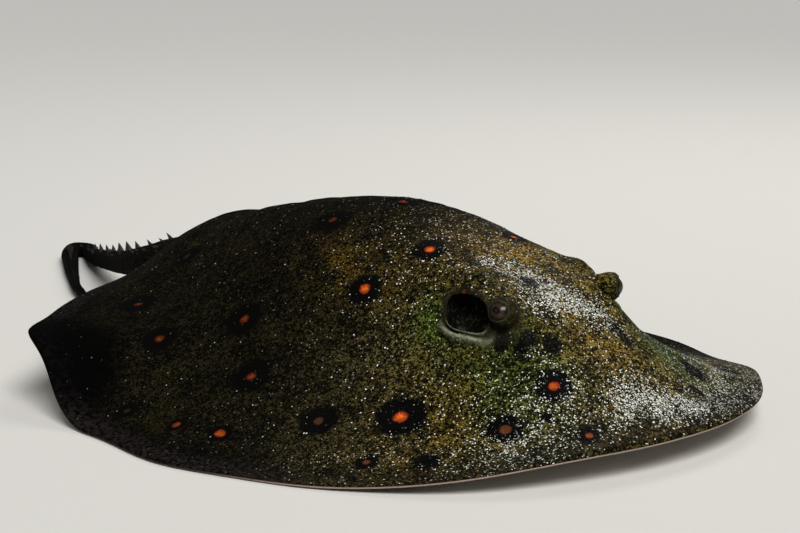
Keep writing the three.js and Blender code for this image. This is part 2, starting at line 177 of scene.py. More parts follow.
# Stations along the back, from the snout to the tail root: the rise over the skirt and its half width.
BACK_Y = [-203, -178, -150, -122, -90, -50, -5, 50, 100, 130, 155, 182]
BACK_RISE = [0, 12, 28, 42, 45, 45, 45.5, 48, 55.5, 48, 31, 15]
BACK_HALF = [60, 62, 68, 74, 86, 106, 124, 124, 108, 90, 68, 42]
BACK_FALL = {"steep": 0.72, "half": 0.7, "power": 2.6}
HEAD_TURN = -3

SIDES = {"left": 1, "right": -1}
ORBITS = {
    "left": {"knob": (33.5, -118, 66.3), "look": (0.68, -0.73, 0.05), "mound": (34, -107)},
    "right": {"knob": (-39.5, -124, 64.6), "look": (-0.93, -0.22, 0.3), "mound": (-38.5, -111)},
}
EYE_MOUND = {"rise": 8, "wide": 17, "long": 30}
SPIRACLE_MOUND = 8
SPIRACLES = {
    "left": {"mouth": (44, -101), "rim": (34, -104), "rise": 3.4},
    "right": {"mouth": (-47.8, -105.6), "rim": (-33, -98), "rise": 2.6},
}
CHEEK = {"place": (72, -134), "rise": 5, "wide": 24, "long": 26}
LUMPS = {"size": 26, "rise": 0.6}
PUCKERS = {"size": 6.5, "rise": 0.28}
RAYS = {"count": 150, "rise": 0.07}
CREASES = [((-93, -22), (-96, -48)), ((92, -30), (97, -54))]
CREASE_DEPTH = 0.8
CREASE_WIDTH = 2.6
CREASE_BEND = 3.0


def smooth(low, high, value):
    """0 up to low, 1 from high on, and an even slope-free step between."""
    t = np.clip((value - low) / (high - low), 0, 1)
    return t * t * (3 - 2 * t)


def hump(angle, centre, spread):
    """A hump of height 1 round an angle in degrees."""
    away = (angle - centre + 540) % 360 - 180
    return np.exp(-((away / spread) ** 2))


def mound(x, y, centre, wide, long):
    """A hump of height 1 round a point seen from above."""
    return np.exp(-(((x - centre[0]) / wide) ** 2) - ((y - centre[1]) / long) ** 2)


def through(value, stations, values):
    """A smooth curve through stations, with the slope at each taken from its neighbours."""
    stations = np.asarray(stations, float)
    values = np.asarray(values, float)
    before = np.maximum(np.arange(len(stations)) - 1, 0)
    after = np.minimum(np.arange(len(stations)) + 1, len(stations) - 1)
    slopes = (values[after] - values[before]) / (stations[after] - stations[before])
    v = np.clip(value, stations[0], stations[-1])
    i = np.clip(np.searchsorted(stations, v, side="right") - 1, 0, len(stations) - 2)
    span = stations[i + 1] - stations[i]
    t = (v - stations[i]) / span
    return (
        values[i] * (2 * t**3 - 3 * t**2 + 1)
        + span * slopes[i] * (t**3 - 2 * t**2 + t)
        + values[i + 1] * (3 * t**2 - 2 * t**3)
        + span * slopes[i + 1] * (t**3 - t**2)
    )


def lumpy(points, size, seed):
    """Soft noise between about -1 and 1 at each point, with lumps of that size."""
    shift = Vector((seed * 3.7, seed * 1.3, seed * 7.1))
    return np.array([noise.noise(Vector(p) / size + shift) for p in points])


def unit(vector):
    vector = np.asarray(vector, float)
    return vector / np.linalg.norm(vector)


def rim_radius(angle):
    """The rim's distance from the centre. The angle is 0 at the snout and grows to the animal's left."""
    c = np.cos(angle)
    s = np.sin(angle)
    reach = np.where(c > 0, DISC_FRONT, DISC_REAR)
    p = DISC_SQUARENESS
    rounded = (np.abs(c / reach) ** p + np.abs(s / DISC_HALF_WIDTH) ** p) ** (-1 / p)
    waves = sum(rise * np.sin(count * angle + start) for count, rise, start in RIM_WAVES)
    radius = rounded + waves * np.abs(s)
    for rise, bump_angle, spread in RIM_BUMPS:
        radius = radius + rise * hump(np.degrees(angle), bump_angle, spread)
    return radius


def rim_lift(angle):
    """How far the rim is held off the floor."""
    d = np.degrees(angle)
    front = FRONT_LIFT["rise"] * np.exp(-(((d - FRONT_LIFT["angle"]) / FRONT_LIFT["spread"]) ** 4))
    rear_right = np.where(d < 0, REAR_LIFT["rise"] * smooth(*REAR_LIFT["right"], -d), 0)
    rear_left = np.where(d > 0, REAR_LIFT["rise"] * smooth(*REAR_LIFT["left"], d), 0)
    return front + rear_right + rear_left


def polar(x, y):
    """The angle of a point seen from above, and its share of the way from the centre to the rim."""
    angle = np.arctan2(x, -y)
    share = np.minimum(np.hypot(x, y) / (rim_radius(angle) - RIM_THICK / 2), 1)
    return angle, share


def back_height(x, y):
    """The back's plain height: the rim's lift, a skirt, the long ridge, eye mounds and cheek."""
    angle, share = polar(x, y)
    behind = smooth(90, 150, np.abs(np.degrees(angle)))
    lift_from = LIFT_FROM["front"] + LIFT_FROM["later_behind"] * behind
    z = RIM_THICK + rim_lift(angle) * smooth(lift_from, 1, share)
    z = z + SKIRT_HEIGHT * (1 - share**2) ** SKIRT_FALL
    middle = HEAD_TURN * (1 - smooth(-120, -60, y))
    across = np.abs(x - middle) / through(y, BACK_Y, BACK_HALF)
    fall = BACK_FALL["steep"] * (across / BACK_FALL["half"]) ** BACK_FALL["power"]
    z = z + through(y, BACK_Y, BACK_RISE) * np.exp(-fall)
    for side in SIDES:
        eye_mound = mound(x, y, ORBITS[side]["mound"], EYE_MOUND["wide"], EYE_MOUND["long"])
        z = z + EYE_MOUND["rise"] * eye_mound
        rim_mound = mound(x, y, SPIRACLES[side]["rim"], SPIRACLE_MOUND, SPIRACLE_MOUND)
        z = z + SPIRACLES[side]["rise"] * rim_mound
    return z + CHEEK["rise"] * mound(x, y, CHEEK["place"], CHEEK["wide"], CHEEK["long"])


def belly_height(x, y):
    """The belly is flat on the floor; it rises to the rim where the rim is held up."""
    angle, share = polar(x, y)
    hollow = TAIL_HOLLOW["depth"] * np.exp(-((x / TAIL_HOLLOW["half"]) ** 2))
    hollow = hollow * smooth(TAIL_HOLLOW["from"], TAIL_HOLLOW["to"], y)
    return np.maximum(0, rim_lift(angle) * smooth(LIFT_FROM["belly"], 1, share) - hollow)


def crease(x, y, start, end):
    """Depth share of a short fold in the skin between two points, fading at its ends."""
    run = np.subtract(end, start)
    along = ((x - start[0]) * run[0] + (y - start[1]) * run[1]) / (run @ run)
    away = ((x - start[0]) * run[1] - (y - start[1]) * run[0]) / math.hypot(*run)
    bend = CREASE_BEND * np.sin(3 * along)
    fold = np.exp(-(((away + bend) / CREASE_WIDTH) ** 2))
    return fold * smooth(-0.3, 0.3, along) * smooth(-0.3, 0.3, 1 - along)


def back_point(x, y):
    """The back's surface with its lumps, puckers, fin rays and folds, before the eyes and the holes."""
    z = back_height(x, y)
    angle, share = polar(x, y)
    flat = np.stack([x, y, 0.4 * z], 1)
    inside = smooth(0, 0.12, 1 - share)
    z = z + LUMPS["rise"] * lumpy(flat, LUMPS["size"], 1) * inside
    z = z + PUCKERS["rise"] * lumpy(flat, PUCKERS["size"], 2) * inside
    rays = np.sin(RAYS["count"] * angle + 4 * lumpy(flat, 60, 3))
    z = z + RAYS["rise"] * rays * smooth(0.5, 0.8, share) * inside
    for start, end in CREASES:
        z = z - CREASE_DEPTH * crease(x, y, start, end)
    return np.stack([x, y, z], 1)


# ---- Skin: the net of points ---------------------------------------------------------------------
# The back and the belly are each a net of triangles, closest at the eyes and the breathing holes and
# wider where the skin is plain. Both nets start from the same points along the rim.

RIM_POINTS = 860
RIM_RINGS = 5
BACK_SPACING = 2.15
HEAD_SPACING = 1.5
EDGE_SPACING = 1.45
BELLY_SPACING = 3.2
SPACING_STEP = 0.78
SPACING_GROWTH = 0.12
FINEST_SPACING = 0.25
NET_STROKES = 10
ROOM_AT_EDGE = 0.7

# Fine details of the back: place, the spacing asked for there, and how far that holds.
TAIL_ROOT = (0, 160)
BACK_DETAILS = [(TAIL_ROOT, 1.5, 20)]
BACK_DETAILS += [(ORBITS[side]["knob"], 0.3, 9) for side in SIDES]
BACK_DETAILS += [(SPIRACLES[side]["mouth"], 0.42, 16) for side in SIDES]


def closeness(x, y, centre, near, reach):
    """The spacing asked for by a fine detail: near within its reach, and growing evenly outside."""
    away = np.hypot(x - centre[0], y - centre[1])
    return near + SPACING_GROWTH * np.maximum(0, away - reach)


def back_spacing(x, y):
    angle, share = polar(x, y)
    from_rim = (1 - share) * rim_radius(angle)
    h = np.minimum(BACK_SPACING, EDGE_SPACING + 0.04 * from_rim)
    from_head = np.hypot(np.maximum(0, np.abs(x) - 50), np.maximum(0, y + 70))
    h = np.minimum(h, HEAD_SPACING + 0.02 * from_head)
    for place, near, reach in BACK_DETAILS:
        h = np.minimum(h, closeness(x, y, place, near, reach))
    return h


def edges_of(faces):
    return np.concatenate([faces[:, [0, 1]], faces[:, [1, 2]], faces[:, [2, 0]]])


def between_neighbours(points, edges):
    """For each point, the middle of the points that its edges lead to."""
    total = np.zeros_like(points)
    np.add.at(total, edges[:, 0], points[edges[:, 1]])
    count = np.maximum(np.bincount(edges[:, 0], minlength=len(points)), 1)
    return total / count[:, None]


def net(edge, spacing, coarsest):
    """Points and triangles inside an edge, as close together as spacing(x, y) asks."""
    layers = [edge]
    edge_angle = np.arctan2(edge[:, 0], -edge[:, 1])
    order = np.argsort(edge_angle)
    edge_reach = np.hypot(edge[:, 0], edge[:, 1])

    def room(x, y):
        reach = np.interp(np.arctan2(x, -y), edge_angle[order], edge_reach[order], period=2 * math.pi)
        return reach - np.hypot(x, y)

    size = coarsest
    half = np.abs(edge).max()
    while size > FINEST_SPACING:
        columns = np.arange(-half, half, size)
        rows = np.arange(-half, half, size * math.sqrt(3) / 2)
        x, y = np.meshgrid(columns, rows)
        x = x + (np.arange(len(rows)) % 2)[:, None] * size / 2
        x, y = x.ravel(), y.ravel()
        wanted = spacing(x, y)
        top = wanted < size / math.sqrt(SPACING_STEP) if size < coarsest else wanted < math.inf
        keep = top & (wanted >= size * math.sqrt(SPACING_STEP)) & (room(x, y) > ROOM_AT_EDGE * size)
        layers.append(np.stack([x[keep], y[keep]], 1))
        size *= SPACING_STEP
    points = np.concatenate(layers)
    fixed = len(edge)
    for strokes in (NET_STROKES, 0):
        faces = delaunay_2d_cdt([Vector(p) for p in points], [], [], 0, 1e-5, False)[2]
        faces = np.array([f for f in faces if len(f) == 3])
        middle = points[faces].mean(1)
        faces = faces[room(middle[:, 0], middle[:, 1]) > 0]
        edges = edges_of(faces)
        edges = np.concatenate([edges, edges[:, ::-1]])
        for _ in range(strokes):
            points[fixed:] = between_neighbours(points, edges)[fixed:]
    return points, faces


rim_angles = np.linspace(-math.pi, math.pi, RIM_POINTS, endpoint=False)
rim_reach = rim_radius(rim_angles) - RIM_THICK / 2
rim_edge = np.stack([rim_reach * np.sin(rim_angles), -rim_reach * np.cos(rim_angles)], 1)
back_plan, back_faces = net(rim_edge, back_spacing, BACK_SPACING)

# ---- Skin: lids and breathing holes --------------------------------------------------------------
# Each eye bulges from the flank in a knob of skin with two folds of lid round the ball. Behind it a
# spiracle opens into the head: an eave above, a thick pale lip below and behind, ridges inside.

EYE_OUT = 2.8
KNOB_PATCH = 7.6
SPIRACLE_HIGH = 10.2
SPIRACLE_LONG = 11.5
SPIRACLE_SLANT = 0.37
SPIRACLE_SQUARENESS = 3.0
SPIRACLE_DEPTH = 14
HOLLOWS = {"left": (46, -124), "right": (-50, -134)}
HOLLOW_DEPTH = 3.6
HOLLOW_SIZE = (10, 11)
UNMARKED = 9.0

# The knob from the middle of the pupil outward: share of the patch, angle round the ball's centre
# past the lid's edge in degrees, and distance from the ball's centre.
LID_SHARE = [0, 0.3, 0.4, 0.46, 0.52, 0.58, 0.64, 0.7, 0.76, 0.86, 1.0, 1.2]
LID_ANGLE = [-50, -14, -2, 0, 5, 11, 17, 25, 33, 50, 72, 88]
LID_REACH = [4.4, 5.0, 5.7, 6.42, 6.85, 6.68, 6.85, 7.15, 7.05, 7.3, 7.6, 8.0]
LID_OPENING = 49
LID_SQUINT = 6
KNOB_HOLD = (0.86, 1.3)
HOOD = {"rise": 0.5, "share": 0.62, "wide": 0.16, "turn": -10, "half": 60}

# The hole from its middle outward: share of the rim's radius, depth share, and radius share.
HOLE_SHARE = [0, 0.3, 0.5, 0.62, 0.72, 0.81, 0.89, 0.95, 1.0, 1.06, 1.3]
HOLE_DEPTH = [1, 0.98, 0.92, 0.78, 0.56, 0.34, 0.15, 0.04, 0, 0, 0]
HOLE_REACH = [0, 0.4, 0.7, 0.88, 0.98, 1.03, 1.03, 1.0, 0.99, 1.06, 1.3]

# Parts of the hole's edge: the turn in degrees at their middle, and half their width. Then the folds
# on them, as rises out of the skin and as slides away from the hole: size, part, share and width.
HOLE_PARTS = {"lip": (182, 52), "pocket": (158, 30), "eave": (10, 60)}
HOLE_RISES = [
    (2.1, "lip", 1.33, 0.1), (1.2, "lip", 1.03, 0.04), (-2.8, "pocket", 1.17, 0.07),
    (-2.2, "lip", 1.66, 0.15), (0.7, "eave", 1.07, 0.1),
]
HOLE_SLIDES = [(-1.0, "lip", 1.2, 0.14), (-0.8, "eave", 1.0, 0.08)]
HOLE_RIDGES = {"count": 22, "rise": 0.5, "share": 0.72, "wide": 0.16}


def surface_frame(side, foot):
    """A point of the back with its normal, the way up the slope and the way to the tail."""
    x, y = foot
    step = 1.5
    across = np.array([x, x + step, x - step, x, x])
    heights = back_height(across, np.array([y, y, y, y + step, y - step]))
    out = unit([(heights[2] - heights[1]) / (2 * step), (heights[4] - heights[3]) / (2 * step), 1])
    up = unit(np.array([0, 0, 1]) - out * out[2])
    back = np.cross(out, up) * -SIDES[side]
    return np.array([x, y, heights[0]]), out, up, back


def around(points, place, up, back):
    """Distance of points from a place along its tangent plane, and their turn: 0 is up, 90 is back."""
    away = points - place
    return np.hypot(away @ up, away @ back), np.arctan2(away @ back, away @ up)


def ring_of(turn, up, back):
    """Ways out from a place in its tangent plane, one for each turn."""
    return np.cos(turn)[:, None] * up + np.sin(turn)[:, None] * back


def window(turn, centre, half):
    """1 round a turn in degrees, falling to 0 past half the given width."""
    away = np.abs((np.degrees(turn) - centre + 540) % 360 - 180)
    return 1 - smooth(0.6 * half, 1.3 * half, away)


def push_knob(points, base, side):
    """The eye's knob and lids; also gives how far each point lies through the lids."""
    orbit = ORBITS[side]
    foot, _, up, back = surface_frame(side, orbit["knob"][:2])
    reach, turn = around(base, foot, up, back)
    share = reach / KNOB_PATCH
    near = np.flatnonzero(share < 1.6)
    look = unit(orbit["look"])
    look_up = unit(np.array([0, 0, 1]) - look * look[2])
    look_back = np.cross(look, look_up) * -SIDES[side]
    ball = np.array(orbit["knob"]) + look * EYE_OUT
    s, t = share[near], turn[near]
    opening = LID_OPENING - LID_SQUINT * np.cos(2 * t)
    angle = through(s, LID_SHARE, LID_ANGLE)
    angle = np.radians(np.where(angle < 0, opening * (1 + angle / 50), opening + angle))
    distance = through(s, LID_SHARE, LID_REACH)
    hood = np.exp(-(((s - HOOD["share"]) / HOOD["wide"]) ** 2)) * window(t, HOOD["turn"], HOOD["half"])
    distance = distance + HOOD["rise"] * hood
    radial = ring_of(t, look_up, look_back)
    way = np.cos(angle)[:, None] * look + np.sin(angle)[:, None] * radial
    place = ball + distance[:, None] * way
    hold = (1 - smooth(*KNOB_HOLD, s))[:, None]
    points[near] += (place - points[near]) * hold
    return share


def sink_hole(points, base, side):
    """The spiracle; also gives each point's share of the way to the rim and its turn round the hole."""
    foot, out, up, back = surface_frame(side, SPIRACLES[side]["mouth"])
    reach, turn = around(base, foot, up, back)
    high = reach * np.cos(turn)
    long = reach * np.sin(turn) - SPIRACLE_SLANT * high
    power = SPIRACLE_SQUARENESS
    share = (np.abs(high) / SPIRACLE_HIGH) ** power + (np.abs(long) / SPIRACLE_LONG) ** power
    share = share ** (1 / power)
    near = np.flatnonzero(share < 2.4)
    s, t = share[near], turn[near]
    rim = reach[near] / np.maximum(s, 0.001)
    parts = {name: window(t, *where) for name, where in HOLE_PARTS.items()}
    depth = -SPIRACLE_DEPTH * through(s, HOLE_SHARE, HOLE_DEPTH)
    ridge_zone = mound(s, 0 * s, (HOLE_RIDGES["share"], 0), HOLE_RIDGES["wide"], 1)
    ridges = HOLE_RIDGES["rise"] * np.sin(HOLE_RIDGES["count"] * t) * ridge_zone
    rise = 0 * s
    for amount, part, at_share, spread in HOLE_RISES:
        rise = rise + amount * parts[part] * np.exp(-(((s - at_share) / spread) ** 2))
    slide = rim * (through(s, HOLE_SHARE, HOLE_REACH) - s) * (s < HOLE_SHARE[-1])
    for amount, part, at_share, spread in HOLE_SLIDES:
        slide = slide + amount * parts[part] * np.exp(-(((s - at_share) / spread) ** 2))
    points[near] += (depth + rise)[:, None] * out + (slide + ridges)[:, None] * ring_of(t, up, back)
    return share, turn


back_base = back_point(back_plan[:, 0], back_plan[:, 1])
back_points = back_base.copy()
back_marks = {name: np.full(len(back_points), UNMARKED) for name in ("lid", "hole", "hole_turn")}
for side in SIDES:
    hollow = mound(back_plan[:, 0], back_plan[:, 1], HOLLOWS[side], *HOLLOW_SIZE)
    back_points[:, 2] -= HOLLOW_DEPTH * hollow
    hole, turn = sink_hole(back_points, back_base, side)
    lid = push_knob(back_points, back_base, side)
    back_marks["lid"] = np.minimum(back_marks["lid"], lid)
    back_marks["hole_turn"] = np.where(hole < back_marks["hole"], turn, back_marks["hole_turn"])
    back_marks["hole"] = np.minimum(back_marks["hole"], hole)

# ---- Skin: the belly -----------------------------------------------------------------------------
# The underside is smooth and white, with the nostrils and their fringed flap, the mouth, five pairs
# of gill slits and the vent, all pressed up into it so that it still lies flat.

MOUTH = {"place": (-2, -112), "half": 15, "bow": 3.5, "depth": 3.2, "wide": 1.7}
NOSTRILS = {"place": (12, -124), "depth": 2.4, "size": 2.6}
FLAP = {"rear": -116.5, "half": 10, "depth": 0.9, "wide": 0.9, "scallops": 1.6, "scallop_depth": 1.2}
GILLS = {"count": 5, "front": (43, -82), "rear": (30, -22), "half": 6.5, "depth": 1.5, "wide": 1.0,
         "lean": 0.35}
GILL_ZONE = {"middle": (36, -52), "long": 2.6, "reach": 17, "spacing": 1.25, "growth": 0.1}
VENT = {"place": (0, 128), "half": 7, "depth": 1.6, "wide": 1.5}
BELLY_DETAILS = [(MOUTH["place"], 0.9, 20), (VENT["place"], 1.0, 8)]


def slit(x, y, centre, half, wide, lean=0.0, bow=0.0):
    """Depth share of a narrow slit across the belly, leaning to the rear at its outer end."""
    side = np.sign(centre[0]) if centre[0] else 1
    along = x - centre[0]
    away = y - centre[1] - lean * side * along + bow * (along / half) ** 2
    return np.exp(-((away / wide) ** 2)) * (1 - smooth(0.75 * half, 1.15 * half, np.abs(along)))


def belly_dents(x, y):
    """How deep the mouth, vent, flap edge, nostrils and gill slits are pressed in."""
    dent = MOUTH["depth"] * slit(x, y, MOUTH["place"], MOUTH["half"], MOUTH["wide"], bow=MOUTH["bow"])
    dent = dent + VENT["depth"] * slit(y, x, VENT["place"][::-1], VENT["half"], VENT["wide"])
    edge = FLAP["rear"] + FLAP["scallop_depth"] * np.sin(FLAP["scallops"] * x)
    flap_end = 1 - smooth(0.8 * FLAP["half"], 1.2 * FLAP["half"], np.abs(x))
    dent = dent + FLAP["depth"] * np.exp(-(((y - edge) / FLAP["wide"]) ** 2)) * flap_end
    for sign in SIDES.values():
        nostril = (NOSTRILS["place"][0] * sign, NOSTRILS["place"][1])
        dent = dent + NOSTRILS["depth"] * mound(x, y, nostril, NOSTRILS["size"], NOSTRILS["size"])
        for k in range(GILLS["count"]):
            t = k / (GILLS["count"] - 1)
            gill = [a + (b - a) * t for a, b in zip(GILLS["front"], GILLS["rear"])]
            gill[0] *= sign
            gill_slit = slit(x, y, gill, GILLS["half"], GILLS["wide"], lean=GILLS["lean"])
            dent = dent + GILLS["depth"] * gill_slit
    return dent


def belly_spacing(x, y):
    h = np.full_like(x, BELLY_SPACING)
    for place, near, reach in BELLY_DETAILS:
        h = np.minimum(h, closeness(x, y, place, near, reach))
    gill_x, gill_y = GILL_ZONE["middle"]
    for sign in SIDES.values():
        away = np.hypot(x - sign * gill_x, (y - gill_y) / GILL_ZONE["long"]) - GILL_ZONE["reach"]
        h = np.minimum(h, GILL_ZONE["spacing"] + GILL_ZONE["growth"] * np.maximum(0, away))
    return h


belly_plan, belly_faces = net(rim_edge, belly_spacing, BELLY_SPACING)
belly_base = belly_height(belly_plan[:, 0], belly_plan[:, 1])
belly_z = belly_base + belly_dents(belly_plan[:, 0], belly_plan[:, 1])
belly_points = np.stack([belly_plan[:, 0], belly_plan[:, 1], belly_z], 1)

# ---- Skin: sewing the disc -----------------------------------------------------------------------
# Back and belly meet in a rounded rim, a strip of rings of points run round the disc. It closes the
# disc into one watertight skin.


def add_object(name, points, faces):
    """An object whose mesh is the given points, in millimetres, and faces."""
    mesh = bpy.data.meshes.new(name)
    mesh.from_pydata((np.asarray(points) * MM).tolist(), [], [list(map(int, f)) for f in faces])
    mesh.validate()
    made = bpy.data.objects.new(name, mesh)
    bpy.context.scene.collection.objects.link(made)
    return made


rim_half = RIM_THICK / 2
rim_middle = rim_lift(rim_angles) + rim_half
rings = []
for k in range(1, RIM_RINGS + 1):
    tilt = math.pi / 2 - math.pi * k / (RIM_RINGS + 1)
    reach = rim_reach + rim_half * math.cos(tilt)
    height = rim_middle + rim_half * math.sin(tilt)
    rings.append(np.stack([reach * np.sin(rim_angles), -reach * np.cos(rim_angles), height], 1))
n_back = len(back_points)
n_belly = len(belly_points)
disc_points = np.concatenate([back_points, belly_points, *rings])
strips = [np.arange(RIM_POINTS)]
strips += [n_back + n_belly + k * RIM_POINTS + np.arange(RIM_POINTS) for k in range(RIM_RINGS)]
strips += [n_back + np.arange(RIM_POINTS)]
rim_faces = []
for above, below in zip(strips, strips[1:]):
    ahead_above, ahead_below = np.roll(above, -1), np.roll(below, -1)
    rim_faces.append(np.stack([above, below, ahead_below], 1))
    rim_faces.append(np.stack([above, ahead_below, ahead_above], 1))
disc_faces = np.concatenate([back_faces, belly_faces[:, ::-1] + n_back, *rim_faces])
skin = add_object("skin", disc_points, disc_faces)

# ---- Skin: the tail ------------------------------------------------------------------------------
# The tail leaves the body over the rear notch, sinks to the floor, turns back on itself and ends in a
# thin whip with a low keel of skin above and below.

TAIL_LINE = [
    (0, 132, 46), (0, 165, 44), (-5, 193, 40.5), (-4, 224, 33), (10, 268, 23.5),
    (31, 320, 14.5), (49, 362, 8), (61, 386, 5.3), (67, 399, 4.8), (62, 408, 4.6),
    (51, 397, 4.5), (38, 376, 4.3), (24, 353, 4.2), (9, 327, 4.3), (-6, 300, 4.6),
    (-18, 271, 4.6), (-26, 247, 4),
]
TAIL_HALF_HEIGHT = [17, 14, 11, 9, 7.4, 6.2, 5.5, 5.1, 4.9, 4.8, 4.6, 4.3, 3.9, 3.4, 2.9, 2.2, 1]
TAIL_FLATNESS = [
    1.5, 1.45, 1.35, 1.25, 1.2, 1.15, 1.1, 1.1, 1.15, 1.2, 1.25, 1.25, 1.2, 1.1, 1, 0.8, 0.8,
]
TAIL_SIDES = 36
TAIL_RINGS = 250
TAIL_TIP = 1.2
SIDE_CROWDING = 0.33
TAIL_LUMPS = {"size": 4, "rise": 0.25, "radius": 8}
KEEL = {"from": 0.7, "to": 0.99, "upper": 3.0, "lower": 2.4, "spread": 11}

tail_stations = np.array(TAIL_LINE, float)
gaps = np.linalg.norm(np.diff(tail_stations, axis=0), axis=1) ** 0.5
tail_knots = np.concatenate([[0], np.cumsum(gaps)])
fine_knots = np.linspace(0, tail_knots[-1], 2000)


def tail_middle(knot):
    """Places on the tail's middle line."""
    return np.stack([through(knot, tail_knots, tail_stations[:, k]) for k in range(3)], 1)


fine_line = tail_middle(fine_knots)
fine_run = np.concatenate([[0], np.cumsum(np.linalg.norm(np.diff(fine_line, axis=0), axis=1))])
tail_length = fine_run[-1]


def tail_at(share):
    """Places along the tail, with the ways along, sideways and up there, and its half sizes."""
    share = np.asarray(share, float)
    knot = np.interp(share * tail_length, fine_run, fine_knots)
    step = 0.02
    place = tail_middle(knot)
    along = tail_middle(knot + step) - tail_middle(knot - step)
    along /= np.linalg.norm(along, axis=1, keepdims=True)
    aside = np.cross(along, [0, 0, 1])
    aside /= np.linalg.norm(aside, axis=1, keepdims=True)
    above = np.cross(aside, along)
    high = through(knot, tail_knots, TAIL_HALF_HEIGHT)
    return place, along, aside, above, high, high * through(knot, tail_knots, TAIL_FLATNESS)


def keel_rise(share, rise):
    """The keel's height along the tail, nothing at its two ends."""
    t = np.clip((share - KEEL["from"]) / (KEEL["to"] - KEEL["from"]), 0, 1)
    return rise * np.sin(math.pi * t) ** 0.7


ring_shares = np.linspace(0, 1, TAIL_RINGS)
place, along, aside, above, high, wide = tail_at(ring_shares)
turns = np.linspace(0, 2 * math.pi, TAIL_SIDES, endpoint=False)
turns = turns + SIDE_CROWDING * np.sin(2 * turns)
tail_points = []
for turn in turns:
    degrees = math.degrees(turn)
    crest = keel_rise(ring_shares, KEEL["upper"]) * hump(degrees, 90, KEEL["spread"])
    crest = crest - keel_rise(ring_shares, KEEL["lower"]) * hump(degrees, 270, KEEL["spread"])
    ring = place + aside * (wide * math.cos(turn))[:, None]
    tail_points.append(ring + above * (high * math.sin(turn) + crest)[:, None])
tail_points = np.stack(tail_points, 1)
tail_ends = np.stack([place[0], place[-1] + along[-1] * TAIL_TIP])
ring_faces = []
for r in range(TAIL_RINGS - 1):
    here = r * TAIL_SIDES + np.arange(TAIL_SIDES)
    beside = np.roll(here, -1)
    ring_faces.append(np.stack([here, here + TAIL_SIDES, beside + TAIL_SIDES, beside], 1))
first = np.arange(TAIL_SIDES)
last = first + (TAIL_RINGS - 1) * TAIL_SIDES
start_pole = TAIL_RINGS * TAIL_SIDES
caps = [(start_pole, a, b) for a, b in zip(first, np.roll(first, -1))]
caps += [(start_pole + 1, b, a) for a, b in zip(last, np.roll(last, -1))]
tail_flat = tail_points.reshape(-1, 3)
past_root = np.repeat(smooth(0.05, 0.2, ring_shares), TAIL_SIDES)
tail_wrinkles = lumpy(tail_flat, TAIL_LUMPS["size"], 5) * TAIL_LUMPS["rise"] * past_root
from_middle = tail_flat - np.repeat(place, TAIL_SIDES, 0)
tail_flat = tail_flat + from_middle * (tail_wrinkles / TAIL_LUMPS["radius"])[:, None]
tail_flat = np.concatenate([tail_flat, tail_ends])
tail_flat[:, 2] = np.maximum(tail_flat[:, 2], 0)
tail = add_object("tail_cast", tail_flat, [*np.concatenate(ring_faces).tolist(), *caps])

# ---- Skin: the pelvic fins -----------------------------------------------------------------------
# A soft, flat lobe of skin lies under the disc's rear margin on each side of the tail root. Its inner
# end runs up into the disc, where the two are joined.

PELVIC = {"root": (20, 138), "reach": 60, "slim": 0.8, "tilt": 63, "thick": 4.4, "edge": 1.5, "droop": 7}
PELVIC_AROUND = 64
PELVIC_RINGS = 16


def pelvic_point(sign, share, turn, top):
    """A point of a lobe: share of the way from its middle to its edge, turn round it, and face."""
    tilt = math.radians(PELVIC["tilt"])
    u = PELVIC["reach"] / 2 * (1 + share * math.cos(turn))
    v = PELVIC["reach"] / 2 * share * math.sin(turn) * PELVIC["slim"]
    x = PELVIC["root"][0] + u * math.cos(tilt) - v * math.sin(tilt)
    y = PELVIC["root"][1] + u * math.sin(tilt) + v * math.cos(tilt)
    thick = PELVIC["thick"] + (PELVIC["edge"] - PELVIC["thick"]) * share**2
    round_edge = math.sqrt(max(0, 1 - share**8))
    joined = 1 - smooth(0.1, 0.45, u / PELVIC["reach"])
    z = belly_height(np.array([sign * x]), np.array([y]))[0] - 1.1 + 2.6 * joined
    z = z - PELVIC["droop"] * smooth(165, 200, y)
    middle = z - thick / 2
    half = thick / 2 * round_edge
    return sign * x, y, max(0, middle + (half if top else -half))


def add_pelvic(sign):
    points = [pelvic_point(sign, 0, 0, True)]
    shares = [((k + 1) / PELVIC_RINGS) ** 0.8 for k in range(PELVIC_RINGS)]
    rows = [(share, True) for share in shares] + [(share, False) for share in shares[-2::-1]]
    for share, top in rows:
        for k in range(PELVIC_AROUND):
            points.append(pelvic_point(sign, share, 2 * math.pi * k / PELVIC_AROUND, top))
    points.append(pelvic_point(sign, 0, 0, False))
    faces = []
    for k in range(PELVIC_AROUND):
        after = (k + 1) % PELVIC_AROUND
        faces.append((0, 1 + k, 1 + after))
        for row in range(len(rows) - 1):
            a = 1 + row * PELVIC_AROUND
            faces.append((a + k, a + PELVIC_AROUND + k, a + PELVIC_AROUND + after, a + after))
        a = 1 + (len(rows) - 1) * PELVIC_AROUND
        faces.append((len(points) - 1, a + after, a + k))
    if sign < 0:
        faces = [face[::-1] for face in faces]
    return add_object("pelvic_cast", points, faces)


# ---- Skin: joining -------------------------------------------------------------------------------
# Tail and lobes are welded to the disc, so that one skin runs over them all, and the welds are worked
# smooth. The finished skin replaces every piece of flesh.

WELD_REACH = 10.0
WELD_STROKES = 30
SAME_POINT = 0.01


def points_of(mesh):
    places = np.empty(len(mesh.vertices) * 3, np.float32)
    mesh.vertices.foreach_get("co", places)
    return places.reshape(-1, 3).astype(float) / MM


def triangles_of(mesh):
    mesh.calc_loop_triangles()
    corners = np.empty(len(mesh.loop_triangles) * 3, np.int32)
    mesh.loop_triangles.foreach_get("vertices", corners)
    return corners.reshape(-1, 3)


def tree_of(points):
    tree = KDTree(len(points))
    for k, point in enumerate(points):
        tree.insert(point, k)
    tree.balance()
    return tree


def find_nearest(tree, points):
    found = [tree.find(point) for point in points]
    return np.array([f[1] for f in found]), np.array([f[2] for f in found])


